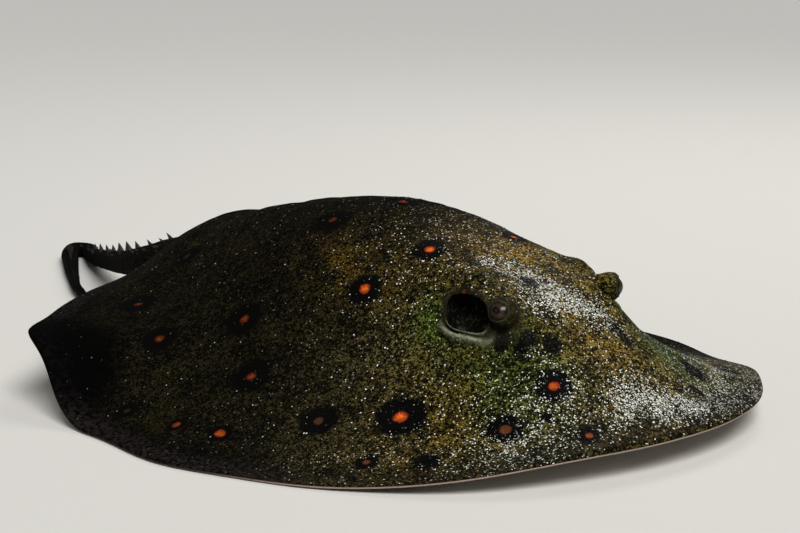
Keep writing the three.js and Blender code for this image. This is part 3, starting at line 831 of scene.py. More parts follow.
parts = [tail, add_pelvic(1), add_pelvic(-1)]
cast_points = np.concatenate([points_of(part.data) for part in (skin, *parts)])
cast_sizes = [len(part.data.vertices) for part in (skin, *parts)]
for part in parts:
    join = skin.modifiers.new("join", "BOOLEAN")
    join.operation = "UNION"
    join.solver = "MANIFOLD"
    join.object = part
    joined = bpy.data.meshes.new_from_object(skin.evaluated_get(bpy.context.evaluated_depsgraph_get()))
    skin.modifiers.clear()
    skin.data = joined
    bpy.data.objects.remove(part)

skin_points = points_of(skin.data)
skin_faces = triangles_of(skin.data)
cast_of, cast_away = find_nearest(tree_of(cast_points), skin_points)
weld_points = skin_points[cast_away > SAME_POINT]
weld_away = find_nearest(tree_of(weld_points), skin_points)[1]
softness = (0.5 * (1 - smooth(0, WELD_REACH, weld_away)))[:, None]
weld_edges = edges_of(skin_faces)
weld_edges = weld_edges[softness[weld_edges[:, 0], 0] > 0]
for _ in range(WELD_STROKES):
    skin_points += softness * (between_neighbours(skin_points, weld_edges) - skin_points)
skin_points[:, 2] = np.maximum(skin_points[:, 2], 0)

skin_mesh = bpy.data.meshes.new("skin")
skin_mesh.from_pydata((skin_points * MM).tolist(), [], skin_faces.tolist())
skin_mesh.polygons.foreach_set("use_smooth", np.ones(len(skin_faces), bool))
skin.data = skin_mesh

# ---- Skin: markings ------------------------------------------------------------------------------
# Orange eyespots ringed with black on an olive skin of fine pale flecks, gold on the head and green on
# the cheeks, darker to the rear in pigment and painted shade, with a white belly. Each marking is a
# number held at every point.

# Eyespots on the right side: x, y, ring across, core across, and how orange the core is.
RIGHT_SPOTS = [
    (-36, 8, 20, 5, 0.45), (-30, -60, 16, 5.5, 1.0), (-62, -48, 17, 6, 0.95), (-58, 107, 16, 5, 0.3),
    (-99, 94, 20, 5.2, 0.45), (-119, 46, 18, 5.2, 0.5), (-96, 5, 20, 5.4, 0.55),
    (-117, -28, 19, 5.2, 0.6), (-92, -109, 24, 7.2, 1.0), (-69, -155, 17, 6, 0.3),
    (-116, -78, 18, 5, 0.22), (-148, -44, 12, 6, 0.95), (-154, -17, 10, 5, 0.6),
    (-156, 22, 11, 4, 0.25), (-122, -120, 11, 4, 0.3), (-106, -143, 12, 2, 0.0),
    (-40, -157, 17, 5.2, 1.0), (-45, -185, 11, 4, 0.45), (-42.6, -98.6, 6, 2.6, 0.9),
    (-3.5, -114, 5, 2.2, 0.5), (-136, -127, 4, 1, 0.0), (-52, -165, 5, 1, 0.0),
]
MIDDLE_SPOTS = [
    (3, -2, 18, 6, 0.6), (-6, 62, 17, 5.5, 0.5), (8, 112, 14, 4.5, 0.4), (19, -69, 13, 4.5, 0.9),
    (38, -176, 8, 2.5, 0.3),
]

# The left side has the right side's larger spots, mirrored and moved by up to this slip.
MIRROR_SLIP = 9.0
MIRRORED = {"inner": -35, "front": -156, "least_ring": 8, "dull_front": -100, "dull": 0.6}

# Zones seen from above: x, y, half width and half length, and for some a strength.
# Dark patches: the first three are painted shadow below the right eye, and the two big ones are painted
# shade in the raised rear corners; the others are dark marks in the skin.
DARK_MARKS_AND_SHADE_PATCHES = [
    (-28, -144, 6, 5), (-45, -127, 5, 4), (-38, -136, 6, 4), (-160, 78, 34, 46), (150, 110, 34, 42),
    (15, -148, 4, 9), (-12, -112, 4, 7), (-24, -86, 4, 5), (38, -176, 5, 4),
]
GOLD_PATCHES = [(-32, -140, 4, 3), (-20, -128, 5, 5), (22, -140, 5, 5)]
GOLD_PATCH_STRENGTH = 1.2
GOLD_EACH_SIDE = [(56, -28, 15, 30, 0.9), (85, -140, 38, 32, 0.9)]
GREEN_EACH_SIDE = [(50, -138, 26, 34, 1.0), (56, -89, 10, 14, 0.8)]
FAR_WING = (118, -108, 55, 62)

# Where pale grains lie thick, painted near-white to stand for their glints (painted highlights): x, y,
# half width, half length and strength.
SPARKLES = [
    (-19, -87, 7, 4, 0.7), (-11, -96, 7, 7, 0.75), (-9, -111, 10, 9, 0.9), (-7, -125, 13, 9, 1.0),
    (6, -134, 9, 8, 0.9), (15, -142, 6, 6, 0.6), (-22, -124, 7, 8, 0.45), (-3, -176, 14, 9, 0.9),
    (6, -186, 15, 8, 1.0), (22, -190, 16, 7, 0.8), (-16, -183, 14, 7, 0.6), (44, -183, 17, 10, 0.5),
    (72, -172, 18, 14, 0.4), (-62, -165, 40, 22, 0.36), (-100, -125, 30, 25, 0.07),
    (98, -145, 36, 26, 0.3),
]

slips = np.random.default_rng(7)
spots = list(RIGHT_SPOTS) + list(MIDDLE_SPOTS)
for x, y, ring, core, heat in RIGHT_SPOTS:
    if x > MIRRORED["inner"] or y < MIRRORED["front"] or ring < MIRRORED["least_ring"]:
        continue
    slip = slips.uniform(-MIRROR_SLIP, MIRROR_SLIP, 2)
    dull = MIRRORED["dull"] if y < MIRRORED["dull_front"] else 1.0
    new_ring = ring * slips.uniform(0.85, 1.15)
    spots.append((-x + slip[0], y + slip[1], new_ring, core * dull, heat * dull))

# For every point of the cast pieces: how far it lies under, and where it lies on the tail.
lobe_half = (cast_sizes[2] + 1) // 2
under_of_rings = [np.full(RIM_POINTS, (k + 1) / (RIM_RINGS + 1)) for k in range(RIM_RINGS)]
lobe_under = np.arange(cast_sizes[2]) >= lobe_half
cast_under = np.concatenate([
    np.zeros(n_back), np.ones(n_belly), *under_of_rings,
    np.tile(1 - smooth(-0.75, 0.1, np.sin(turns)), TAIL_RINGS),
    [0.5, 0.5], lobe_under, lobe_under,
])
tail_start = cast_sizes[0]
poles_start = tail_start + TAIL_RINGS * TAIL_SIDES
cast_on_tail = np.zeros(len(cast_points))
cast_on_tail[tail_start:tail_start + cast_sizes[1]] = 1
cast_share = np.zeros(len(cast_points))
cast_share[tail_start:poles_start] = np.repeat(ring_shares, TAIL_SIDES)
cast_share[poles_start + 1] = 1
cast_turn = np.zeros(len(cast_points))
cast_turn[tail_start:poles_start] = np.tile(turns, TAIL_RINGS)

on_back = cast_of < n_back
plain_points = skin_points.copy()
plain_points[on_back] = back_base[cast_of[on_back]]
x, y = plain_points[:, 0], plain_points[:, 1]
share = polar(x, y)[1]
under = cast_under[cast_of]
on_tail = cast_on_tail[cast_of]
tail_share = cast_share[cast_of]


def back_mark(name):
    values = np.full(len(skin_points), UNMARKED)
    values[on_back] = back_marks[name][cast_of[on_back]]
    return values


def zone(x, y, place, sign=1):
    """A hump over a zone, on the animal's left or mirrored to its right."""
    return mound(x, y, (sign * place[0], place[1]), place[2], place[3])


def carry(mesh, name, values, kind="FLOAT"):
    """Numbers or vectors held at every point of a mesh."""
    held = mesh.attributes.new(name, kind, "POINT").data
    held.foreach_set("value" if kind == "FLOAT" else "vector", np.array(values, np.float32).ravel())


spot_centres = np.array([(s[0], s[1], back_height(np.array(s[0]), np.array(s[1]))) for s in spots])
spot_rings = np.array([s[2] for s in spots])
spot_away = np.linalg.norm(plain_points[:, None] - spot_centres[None], axis=2) / (spot_rings / 2)
own_spot = spot_away.argmin(1)
spot_reach = np.minimum(spot_away.min(1), 3) + 3 * (under > 0.6) + 3 * on_tail
spot_core = np.array([s[3] / s[2] for s in spots])[own_spot]
spot_heat = np.array([s[4] for s in spots])[own_spot]

green = 0 * x
gold = np.exp(-(((x + 3) / 34) ** 2)) * (1 - smooth(-70, 20, y))
for sign in SIDES.values():
    for place in GREEN_EACH_SIDE:
        green = green + place[4] * zone(x, y, place, sign)
    for place in GOLD_EACH_SIDE:
        gold = gold + place[4] * zone(x, y, place, sign)
gold = gold * (0.5 + 0.5 * smooth(-150, -120, y))
for place in GOLD_PATCHES:
    gold = gold + GOLD_PATCH_STRENGTH * zone(x, y, place)
dark_marks_and_shade = 0 * x
for place in DARK_MARKS_AND_SHADE_PATCHES:
    dark_marks_and_shade = dark_marks_and_shade + zone(x, y, place)

# Darkening grows to the rear in steps, and down the flanks to the margin; it is partly the skin's darker
# pigment and partly painted shade where the rear lies in shadow.
darkening_and_shade = 0.12 * smooth(-190, -120, y) + 0.5 * smooth(-130, 10, y)
darkening_and_shade = darkening_and_shade + 0.38 * smooth(-20, 130, y + 0.35 * np.abs(x))
darkening_and_shade = darkening_and_shade + 0.12 * mound(x, y, (-10, 10), 60, 50) - 0.1 * mound(x, y, (-56, -28), 15, 30)
darkening_and_shade = darkening_and_shade + 0.22 * smooth(-155, -95, y) * smooth(0.4, 0.8, share) + 0.14 * smooth(-100, -50, y)
sparkle = 0.12 * mound(x, y, (-8, -62), 40, 40)
for place in SPARKLES:
    sparkle = sparkle + place[4] * zone(x, y, place)
lid = back_mark("lid")
hole = back_mark("hole")
hole_turn = back_mark("hole_turn")
lip_shape = np.exp(-(((hole - 1.35) / 0.1) ** 2)) + 0.9 * np.exp(-(((hole - 1.03) / 0.04) ** 2))
lip = window(hole_turn, 182, 54) * np.clip(lip_shape, 0, 1)
# A pale band along the lids' edge: partly the lid's own edge, partly a painted highlight on the wet lid.
lid_edge_gleam = 0.7 * np.exp(-(((lid - 0.5) / 0.03) ** 2))
# Reach of the dark round the lids, wider round the right eye: partly pigment, partly painted shade.
lid_shade = lid * np.where(x > 0, 1.7, 0.85)
# The far front wing keeps more of its colour: less margin darkening, and less of the pigment and painted
# shade.
far_wing = zone(x, y, FAR_WING)
margin = smooth(0.84, 0.99, share) * (1 - on_tail) * (1 - 0.75 * far_wing)
darkening_and_shade = darkening_and_shade - 0.35 * far_wing

tail_toned = on_tail * smooth(0.05, 0.3, tail_share)
marks = {
    "under": under * (1 - tail_toned), "on_tail": tail_toned,
    "spot_reach": spot_reach, "spot_core": spot_core, "spot_heat": spot_heat,
    "green": np.clip(green, 0, 1), "gold": np.clip(gold, 0, 1), "darkening_and_shade": np.clip(darkening_and_shade, 0, 1),
    "dark_marks_and_shade": np.clip(dark_marks_and_shade, 0, 1), "sparkle": np.clip(sparkle, 0, 1) * (1 - under), "hole": hole,
    "lip": lip, "lid_edge_gleam": lid_edge_gleam, "lid_shade": lid_shade, "margin": margin,
}
for name, values in marks.items():
    carry(skin_mesh, name, values)

# ---- Skin: finish --------------------------------------------------------------------------------
# Wet skin: a nearly black ground with fine flecks of olive, gold and green, pale grains painted
# near-white as their glints (painted highlights), and a thin film of water. Flecks and grains are cells,
# each of which draws by lot whether and how brightly it shows.

FLECKS = 1250.0
GRAINS = 1350.0
STIR = 0.0013
GROUND = (0.0018, 0.0016, 0.0006, 1)
OLIVE = (0.019, 0.015, 0.003, 1)
OLIVE_FLECK = (0.125, 0.098, 0.036, 1)
GOLD = (0.066, 0.038, 0.004, 1)
GOLD_FLECK = (0.34, 0.2, 0.025, 1)
GREEN = (0.014, 0.023, 0.002, 1)
GREEN_FLECK = (0.088, 0.132, 0.02, 1)
PALE_GRAIN_GLINT = (0.93, 0.97, 0.93, 1)
DULL_GRAIN_GLINT = (0.36, 0.36, 0.24, 1)
SPOT_BLACK = (0.0012, 0.001, 0.0008, 1)
SPOT_ORANGE = (0.8, 0.15, 0.012, 1)
SPOT_RED = (0.42, 0.03, 0.004, 1)
MAUVE = (0.017, 0.012, 0.0125, 1)
SPOT_DULL = (0.05, 0.022, 0.01, 1)
BELLY_WHITE = (0.72, 0.68, 0.62, 1)
BELLY_GREY = (0.22, 0.19, 0.17, 1)
RIM_PINK = (0.42, 0.32, 0.27, 1)
LIP_GREY = (0.25, 0.27, 0.17, 1)
HOLE_DARK_AND_SHADE = (0.003, 0.003, 0.002, 1)
HOLE_FLECK = (0.03, 0.03, 0.018, 1)
LID_DARK_AND_SHADE = (0.012, 0.0095, 0.005, 1)
LID_EDGE_GLEAM = (0.07, 0.06, 0.035, 1)
TAIL_DARK = (0.0014, 0.0014, 0.001, 1)
TAIL_FLECK = (0.0099, 0.0095, 0.0063, 1)
REAR_DARK_AND_SHADE_TONE = 0.24


def mark(tree, name):
    return add_node(tree, "ShaderNodeAttribute", attribute_name=name).outputs["Fac"]


def maths(tree, operation, a, b=0.0, c=0.0):
    return add_node(tree, "ShaderNodeMath", {0: a, 1: b, 2: c}, operation=operation).outputs[0]


def times(tree, a, b):
    return maths(tree, "MULTIPLY", a, b)


def scaled(tree, vector, scale):
    inputs = {0: vector, "Scale": scale}
    return add_node(tree, "ShaderNodeVectorMath", inputs, operation="SCALE").outputs[0]


def step_up(tree, value, low, high, out_low=0.0, out_high=1.0):
    """A smooth step from out_low to out_high as the value goes from low to high."""
    inputs = {"Value": value, "From Min": low, "From Max": high, "To Min": out_low, "To Max": out_high}
    return add_node(tree, "ShaderNodeMapRange", inputs, interpolation_type="SMOOTHSTEP").outputs[0]


def mixed(tree, factor, a, b):
    return add_node(tree, "ShaderNodeMix", {0: factor, 6: a, 7: b}, data_type="RGBA").outputs[2]


def soft_noise(tree, place, scale, detail=2.0, rough=0.5, twist=0.0):
    inputs = {"Vector": place, "Scale": scale, "Detail": detail, "Roughness": rough, "Distortion": twist}
    return add_node(tree, "ShaderNodeTexNoise", inputs).outputs[0]


def cells(tree, place, scale):
    """Distance from the middle of the nearest cell, and three numbers that each cell draws by lot."""
    made = add_node(tree, "ShaderNodeTexVoronoi", {"Vector": place, "Scale": scale})
    lots = add_node(tree, "ShaderNodeSeparateColor", {0: made.outputs["Color"]})
    return made.outputs["Distance"], *lots.outputs[:3]


def skin_colour(tree):
    """The skin's colour from its markings, with the fleck pattern that its relief follows."""
    place = add_node(tree, "ShaderNodeTexCoord").outputs["Object"]
    stir = add_node(tree, "ShaderNodeTexNoise", {"Vector": place, "Scale": 700.0, "Detail": 1.0})
    stir_setup = {0: stir.outputs["Color"], 1: (STIR, STIR, STIR), 2: place}
    stirred = add_node(tree, "ShaderNodeVectorMath", stir_setup, operation="MULTIPLY_ADD").outputs[0]
    fine, luck, _, _ = cells(tree, stirred, FLECKS)
    grit, chosen, shade, depth = cells(tree, stirred, GRAINS)
    freckles = soft_noise(tree, place, 430.0, 3.0, 0.65, 0.3)
    blotch = soft_noise(tree, place, 75.0, 4.0, 0.6)
    clouds = soft_noise(tree, place, 17.0, 3.0, 0.55)

    # The zones' own colours, and flecks of them over the ground.
    gold = times(tree, mark(tree, "gold"), step_up(tree, blotch, 0.36, 0.58, 0.25, 1.0))
    green = times(tree, mark(tree, "green"), step_up(tree, clouds, 0.3, 0.6, 0.6, 1.0))
    sparkle = times(tree, mark(tree, "sparkle"), step_up(tree, blotch, 0.34, 0.58, 0.25, 1.0))
    middle = mixed(tree, green, mixed(tree, gold, OLIVE, GOLD), GREEN)
    bright = mixed(tree, green, mixed(tree, gold, OLIVE_FLECK, GOLD_FLECK), GREEN_FLECK)

    body = step_up(tree, fine, 0.78, 0.5)
    amount = maths(tree, "MULTIPLY_ADD", luck, 0.62, maths(tree, "MULTIPLY_ADD", freckles, 1.6, -0.8))
    amount = maths(tree, "MULTIPLY_ADD", blotch, 0.7, maths(tree, "ADD", amount, -0.35))
    colour = mixed(tree, step_up(tree, amount, 0.0, 0.36), GROUND, middle)
    colour = mixed(tree, step_up(tree, amount, 0.24, 0.66), colour, bright)
    body = times(tree, body, step_up(tree, mark(tree, "darkening_and_shade"), 0.2, 0.8, 1.0, 0.6))
    colour = mixed(tree, body, GROUND, colour)

    # Pale grains, painted near-white as painted highlights standing for their glints, with dark gaps
    # where they lie thick.
    darkening_and_shade = mark(tree, "darkening_and_shade")
    chance = maths(tree, "MULTIPLY_ADD", sparkle, 0.66, step_up(tree, darkening_and_shade, 0.1, 0.8, 0.014, 0.002))
    lucky = maths(tree, "LESS_THAN", chosen, chance)
    grain_glint = times(tree, lucky, step_up(tree, grit, 0.62, 0.42))
    gleam = mixed(tree, shade, DULL_GRAIN_GLINT, PALE_GRAIN_GLINT)
    gaps = times(tree, sparkle, step_up(tree, depth, 0.15, 0.5, 0.0, 1.0))
    colour = mixed(tree, gaps, colour, GROUND)

    # Darker to the rear and in patches, partly pigment and partly painted shade (painted shadow below
    # the right eye and in the raised rear corners), and along the margin, which is worn to mauve.
    tone_and_shade = step_up(tree, darkening_and_shade, 0.0, 0.9, 1.0, REAR_DARK_AND_SHADE_TONE)
    tone_and_shade = times(tree, tone_and_shade, step_up(tree, clouds, 0.25, 0.7, 0.65, 1.3))
    tone_and_shade = times(tree, tone_and_shade, step_up(tree, mark(tree, "dark_marks_and_shade"), 0.2, 0.7, 1.0, 0.06))
    tone_and_shade = times(tree, tone_and_shade, step_up(tree, mark(tree, "margin"), 0.1, 0.9, 1.0, 0.4))
    toned_and_shaded = scaled(tree, colour, tone_and_shade)
    worn = times(tree, step_up(tree, mark(tree, "margin"), 0.5, 1.0), step_up(tree, freckles, 0.42, 0.6))
    worn = times(tree, worn, step_up(tree, mark(tree, "dark_marks_and_shade"), 0.2, 0.8, 1.0, 0.15))
    toned_and_shaded = mixed(tree, times(tree, worn, step_up(tree, darkening_and_shade, 0.2, 0.6, 0.0, 0.8)), toned_and_shaded, MAUVE)
    toned_and_shaded = mixed(tree, times(tree, grain_glint, step_up(tree, tone_and_shade, 0.05, 0.5, 0.15, 1.0)), toned_and_shaded, gleam)

    # Eyespots: a ragged black ring round a red core that is orange in its middle.
    ragged = maths(tree, "MULTIPLY_ADD", soft_noise(tree, place, 260.0, 4.0, 0.7), 0.9, -0.45)
    reach = maths(tree, "ADD", mark(tree, "spot_reach"), ragged)
    core_edge = mark(tree, "spot_core")
    heat = mark(tree, "spot_heat")
    ring = step_up(tree, reach, 1.3, 0.92)
    specked = times(tree, grain_glint, step_up(tree, reach, 0.5, 0.9, 0.0, 0.9))
    ring = times(tree, ring, maths(tree, "SUBTRACT", 1.0, specked))
    spotted = mixed(tree, ring, toned_and_shaded, SPOT_BLACK)
    edge = maths(tree, "MULTIPLY_ADD", ragged, 0.3, mark(tree, "spot_reach"))
    inward = maths(tree, "SUBTRACT", core_edge, edge)
    core = step_up(tree, inward, -0.06, 0.07)
    hot = mixed(tree, step_up(tree, inward, 0.02, 0.2), SPOT_RED, SPOT_ORANGE)
    ember = mixed(tree, step_up(tree, heat, 0.15, 0.9), SPOT_DULL, hot)
    ember = mixed(tree, step_up(tree, freckles, 0.42, 0.62, 0.6, 0.0), ember, SPOT_DULL)
    # Spot cores dim to the rear with the same darkening, which is partly painted shade.
    dimmed = step_up(tree, darkening_and_shade, 0.3, 1.0, 1.0, 0.35)
    ember = scaled(tree, ember, dimmed)
    spotted = mixed(tree, times(tree, core, step_up(tree, heat, 0.0, 0.15)), spotted, ember)

    # Dark lids and holes, partly painted shade: wider round the right eye, which lies in shadow, and
    # round the spiracle under its eave. A pale edge to the lids, partly a painted highlight, and a pale
    # lip below the hole.
    hole = mark(tree, "hole")
    unevenness = maths(tree, "MULTIPLY_ADD", freckles, 0.8, -0.4)
    around_eye = maths(tree, "ADD", mark(tree, "lid_shade"), unevenness)
    spotted = mixed(tree, step_up(tree, around_eye, 1.5, 0.8, 0.0, 0.8), spotted, LID_DARK_AND_SHADE)
    spotted = mixed(tree, times(tree, mark(tree, "lid_edge_gleam"), 0.7), spotted, LID_EDGE_GLEAM)
    around_hole = maths(tree, "ADD", hole, unevenness)
    spotted = mixed(tree, step_up(tree, around_hole, 1.5, 1.05, 0.0, 0.85), spotted, LID_DARK_AND_SHADE)
    lip = times(tree, mark(tree, "lip"), step_up(tree, freckles, 0.36, 0.62, 0.45, 1.0))
    spotted = mixed(tree, lip, spotted, LIP_GREY)
    # Inside the spiracle: partly painted shade, near black, with paler mottled flecks.
    inside = mixed(tree, step_up(tree, freckles, 0.52, 0.66), HOLE_DARK_AND_SHADE, HOLE_FLECK)
    spotted = mixed(tree, step_up(tree, hole, 1.0, 0.9), spotted, inside)

    # Tail, belly and the pink edge between belly and back.
    tail_tone = mixed(tree, step_up(tree, amount, 0.4, 0.8), TAIL_DARK, TAIL_FLECK)
    spotted = mixed(tree, mark(tree, "on_tail"), spotted, tail_tone)

    under = mark(tree, "under")
    greyed = times(tree, mark(tree, "margin"), step_up(tree, blotch, 0.35, 0.6))
    belly = mixed(tree, greyed, BELLY_WHITE, BELLY_GREY)
    belly = mixed(tree, times(tree, mark(tree, "on_tail"), 0.8), belly, BELLY_GREY)
    shown = times(tree, step_up(tree, under, 0.4, 0.6), step_up(tree, darkening_and_shade, 0.25, 0.7, 1.0, 0.12))
    spotted = mixed(tree, shown, spotted, RIM_PINK)
    colour = mixed(tree, step_up(tree, under, 0.7, 0.95), spotted, belly)
    # How much of the grains' enamel shows the painted pale glint: less where painted shade or black
    # rings darken the skin.
    enamel_glint = times(tree, tone_and_shade, maths(tree, "SUBTRACT", 1.0, times(tree, ring, 0.9)))
    relief = times(tree, body, step_up(tree, amount, 0.0, 0.8, 0.4, 1.0))
    return colour, relief, place, enamel_glint


skin_material, tree, shader = new_material("skin_wet")
colour, relief, place, _ = skin_colour(tree)
tree.links.new(colour, shader.inputs["Base Color"])
bump = add_node(tree, "ShaderNodeBump", {"Height": relief, "Strength": 0.6, "Distance": 0.0005})
tree.links.new(bump.outputs[0], shader.inputs["Normal"])
wet = step_up(tree, soft_noise(tree, place, 120.0, 3.0, 0.6), 0.3, 0.7, 0.36, 0.55)
wet = maths(tree, "MAXIMUM", wet, step_up(tree, mark(tree, "darkening_and_shade"), 0.4, 0.9, 0.4, 0.9))
tree.links.new(wet, shader.inputs["Roughness"])
shader.inputs["Specular IOR Level"].default_value = 0.03
skin_mesh.materials.append(skin_material)

# The skin's own map, for baking: the back as seen from above, the belly and the fins' lobes beside it,
# the tail unrolled in a strip along the top.
BACK_CHART = (0.01, 0.01, 0.75, 0.78)
BELLY_CHART = (0.77, 0.01, 0.99, 0.6)
LOBE_CHARTS = [
    (0.77, 0.62, 0.87, 0.69), (0.88, 0.62, 0.99, 0.69), (0.77, 0.7, 0.87, 0.78), (0.88, 0.7, 0.99, 0.78),
]
TAIL_CHART = (0.01, 0.8, 0.99, 0.99)
DISC_LOW = (-195, -206)
DISC_HIGH = (186, 184)
LOBE_LOW = (0, 130)
LOBE_HIGH = (70, 206)


def charted(values, low, high, chart):
    """Values between low and high, laid into a chart's corner places."""
    share = (values - np.array(low)) / (np.array(high) - np.array(low))
    return np.array(chart[:2]) + np.clip(share, 0, 1) * (np.array(chart[2:]) - np.array(chart[:2]))


cast_kind = np.repeat([0, 1, 2, 3], cast_sizes)
kind = np.median(cast_kind[cast_of][skin_faces], axis=1)[:, None]
below = (under[skin_faces].mean(1) > 0.5)[:, None]
plan = plain_points[:, :2][skin_faces]
turned = cast_turn[cast_of][skin_faces]
turned = turned + 2 * math.pi * ((turned.max(1)[:, None] - turned) > math.pi)
unrolled = np.stack([tail_share[skin_faces], turned], 2)
chart_uv = charted(plan, DISC_LOW, DISC_HIGH, BACK_CHART)
chart_uv = np.where(below[..., None], charted(plan, DISC_LOW, DISC_HIGH, BELLY_CHART), chart_uv)
for k, chart in enumerate(LOBE_CHARTS):
    lobe = (kind == 2 + k % 2) & (below == (k > 1))
    lobe_plan = charted(np.abs(plan), LOBE_LOW, LOBE_HIGH, chart)
    chart_uv = np.where(lobe[..., None], lobe_plan, chart_uv)
tail_uv = charted(unrolled, (0, 0), (1, 2.2 * math.pi), TAIL_CHART)
chart_uv = np.where((kind == 1)[..., None], tail_uv, chart_uv)
skin_map = skin_mesh.uv_layers.new(name="OFBake")
skin_map.uv.foreach_set("vector", chart_uv.reshape(-1).astype(np.float32))

flesh = [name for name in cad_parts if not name.startswith("eye_") and name != "tail_sting"]
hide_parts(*flesh)
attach(skin, "root")

# ---- Eyes ----------------------------------------------------------------------------------------
# Each eye is a ball set in its knob, with a clear bulge over a black pupil, a dark bronze iris and a
# nearly black surround. It is cast solid and glossed.

EYE_SIDES = 56
EYE_RINGS = 40
CORNEA = {"rise": 0.45, "spread": 34}
PUPIL_EDGE = 19.0
IRIS_EDGE = 38.0
EYE_BALL = 6.2
PUPIL_BLUR = 1.5
IRIS_BLUR = 4
PUPIL_BLACK = (0.001, 0.001, 0.001, 1)
IRIS_BRONZE = (0.045, 0.025, 0.009, 1)
IRIS_DARK = (0.012, 0.008, 0.004, 1)
EYE_SURROUND = (0.006, 0.0055, 0.004, 1)

eye_material, tree, shader = new_material("eye_gloss")
gaze = mark(tree, "gaze")
place = add_node(tree, "ShaderNodeTexCoord").outputs["Object"]
streaks = soft_noise(tree, place, 1500.0, 3.0, 0.6, 0.8)
iris = mixed(tree, step_up(tree, streaks, 0.4, 0.62), IRIS_DARK, IRIS_BRONZE)
past_pupil = step_up(tree, gaze, PUPIL_EDGE - PUPIL_BLUR, PUPIL_EDGE + PUPIL_BLUR)
colour = mixed(tree, past_pupil, PUPIL_BLACK, iris)
past_iris = step_up(tree, gaze, IRIS_EDGE - IRIS_BLUR, IRIS_EDGE + IRIS_BLUR)
colour = mixed(tree, past_iris, colour, EYE_SURROUND)
tree.links.new(colour, shader.inputs["Base Color"])
shader.inputs["Roughness"].default_value = 0.25
shader.inputs["Specular IOR Level"].default_value = 0.15
shader.inputs["Coat Weight"].default_value = 0.22
shader.inputs["Coat Roughness"].default_value = 0.04

for side in SIDES:
    look = unit(ORBITS[side]["look"])
    look_up = unit(np.array([0, 0, 1]) - look * look[2])
    look_aside = np.cross(look, look_up)
    ball = np.array(ORBITS[side]["knob"]) + look * EYE_OUT
    polar_angles = np.linspace(0, 180, EYE_RINGS + 1)[1:-1]
    eye_points = [ball + look * (EYE_BALL + CORNEA["rise"]), ball - look * EYE_BALL]
    gazes = [0.0, 180.0]
    for angle_out in polar_angles:
        radius = EYE_BALL + CORNEA["rise"] * math.exp(-((angle_out / CORNEA["spread"]) ** 2))
        spin = np.linspace(0, 2 * math.pi, EYE_SIDES, endpoint=False)
        ring = np.cos(spin)[:, None] * look_up + np.sin(spin)[:, None] * look_aside
        a = math.radians(angle_out)
        eye_points.extend(ball + radius * (math.cos(a) * look + math.sin(a) * ring))
        gazes.extend([angle_out] * EYE_SIDES)
    eye_faces = []
    last_ring = 2 + (EYE_RINGS - 2) * EYE_SIDES
    for k in range(EYE_SIDES):
        after = (k + 1) % EYE_SIDES
        eye_faces.append((0, 2 + after, 2 + k))
        eye_faces.append((1, last_ring + k, last_ring + after))
        for r in range(EYE_RINGS - 2):
            a = 2 + r * EYE_SIDES
            eye_faces.append((a + k, a + after, a + EYE_SIDES + after, a + EYE_SIDES + k))
    eye = add_object("eyeball_" + side, eye_points, eye_faces)
    carry(eye.data, "gaze", gazes)
    eye.data.polygons.foreach_set("use_smooth", np.ones(len(eye_faces), bool))
    eye.data.materials.append(eye_material)
    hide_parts("eye_" + side)
    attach(eye, "root")

# ---- Tail thorns ---------------------------------------------------------------------------------
# A row of hard, hooked thorns stands along the tail's back, with small ones scattered beside it. Each is
# a bent cone, set on a point that carries its turn and its size.

THORNS = {"count": 9, "from": 0.13, "to": 0.5, "height": 7, "radius": 3.0, "sink": 2.5, "lean": 0.45}
ROW_TAPER = {"tallest": 0.9, "fall": 0.35, "uneven": 0.12, "beat": 4.8}
SIDE_THORNS = {"count": 60, "from": 0.12, "to": 0.6, "height": 2.2, "radius": 0.9, "sink": 0.8,
               "spread": 55, "nearest": 12}
THORN_DARK = (0.012, 0.011, 0.009, 1)
THORN_TIP = (0.03, 0.026, 0.019, 1)


def geometry_tree(name, sizes):
    """A Geometry Nodes tree with a geometry input and output, and one named input for each size."""
    tree = bpy.data.node_groups.new(name, "GeometryNodeTree")
    tree.interface.new_socket("Geometry", in_out="OUTPUT", socket_type="NodeSocketGeometry")
    tree.interface.new_socket("Geometry", in_out="INPUT", socket_type="NodeSocketGeometry")
    for size, kind in sizes.items():
        tree.interface.new_socket(size, in_out="INPUT", socket_type="NodeSocket" + kind)
    return tree, tree.nodes.new("NodeGroupInput"), tree.nodes.new("NodeGroupOutput")


def grown(name, carrier, tree, values):
    """The plain mesh that a tree makes on a carrier, as a new object."""
    setup = carrier.modifiers.new("grow", "NODES")
    setup.node_group = tree
    for socket in tree.interface.items_tree:
        if socket.in_out == "INPUT" and socket.name in values:
            setup[socket.identifier] = values[socket.name]
    bpy.context.view_layer.update()
    mesh = bpy.data.meshes.new_from_object(carrier.evaluated_get(bpy.context.evaluated_depsgraph_get()))
    carrier.modifiers.remove(setup)
    mesh.name = name
    made = bpy.data.objects.new(name, mesh)
    bpy.context.scene.collection.objects.link(made)
    return made


def attribute_of(tree, name, kind="FLOAT"):
    return add_node(tree, "GeometryNodeInputNamedAttribute", {"Name": name}, data_type=kind).outputs[0]


def end_tree(tree, result, geometry, material):
    """The tree's last steps: rounded shading, the material and the output."""
    rounded = add_node(tree, "GeometryNodeSetShadeSmooth", {"Geometry": geometry})
    inputs = {"Geometry": rounded.outputs[0], "Material": material}
    painted = add_node(tree, "GeometryNodeSetMaterial", inputs)
    tree.links.new(painted.outputs[0], result.inputs["Geometry"])


feet, turns_of, sizes_of = [], [], []


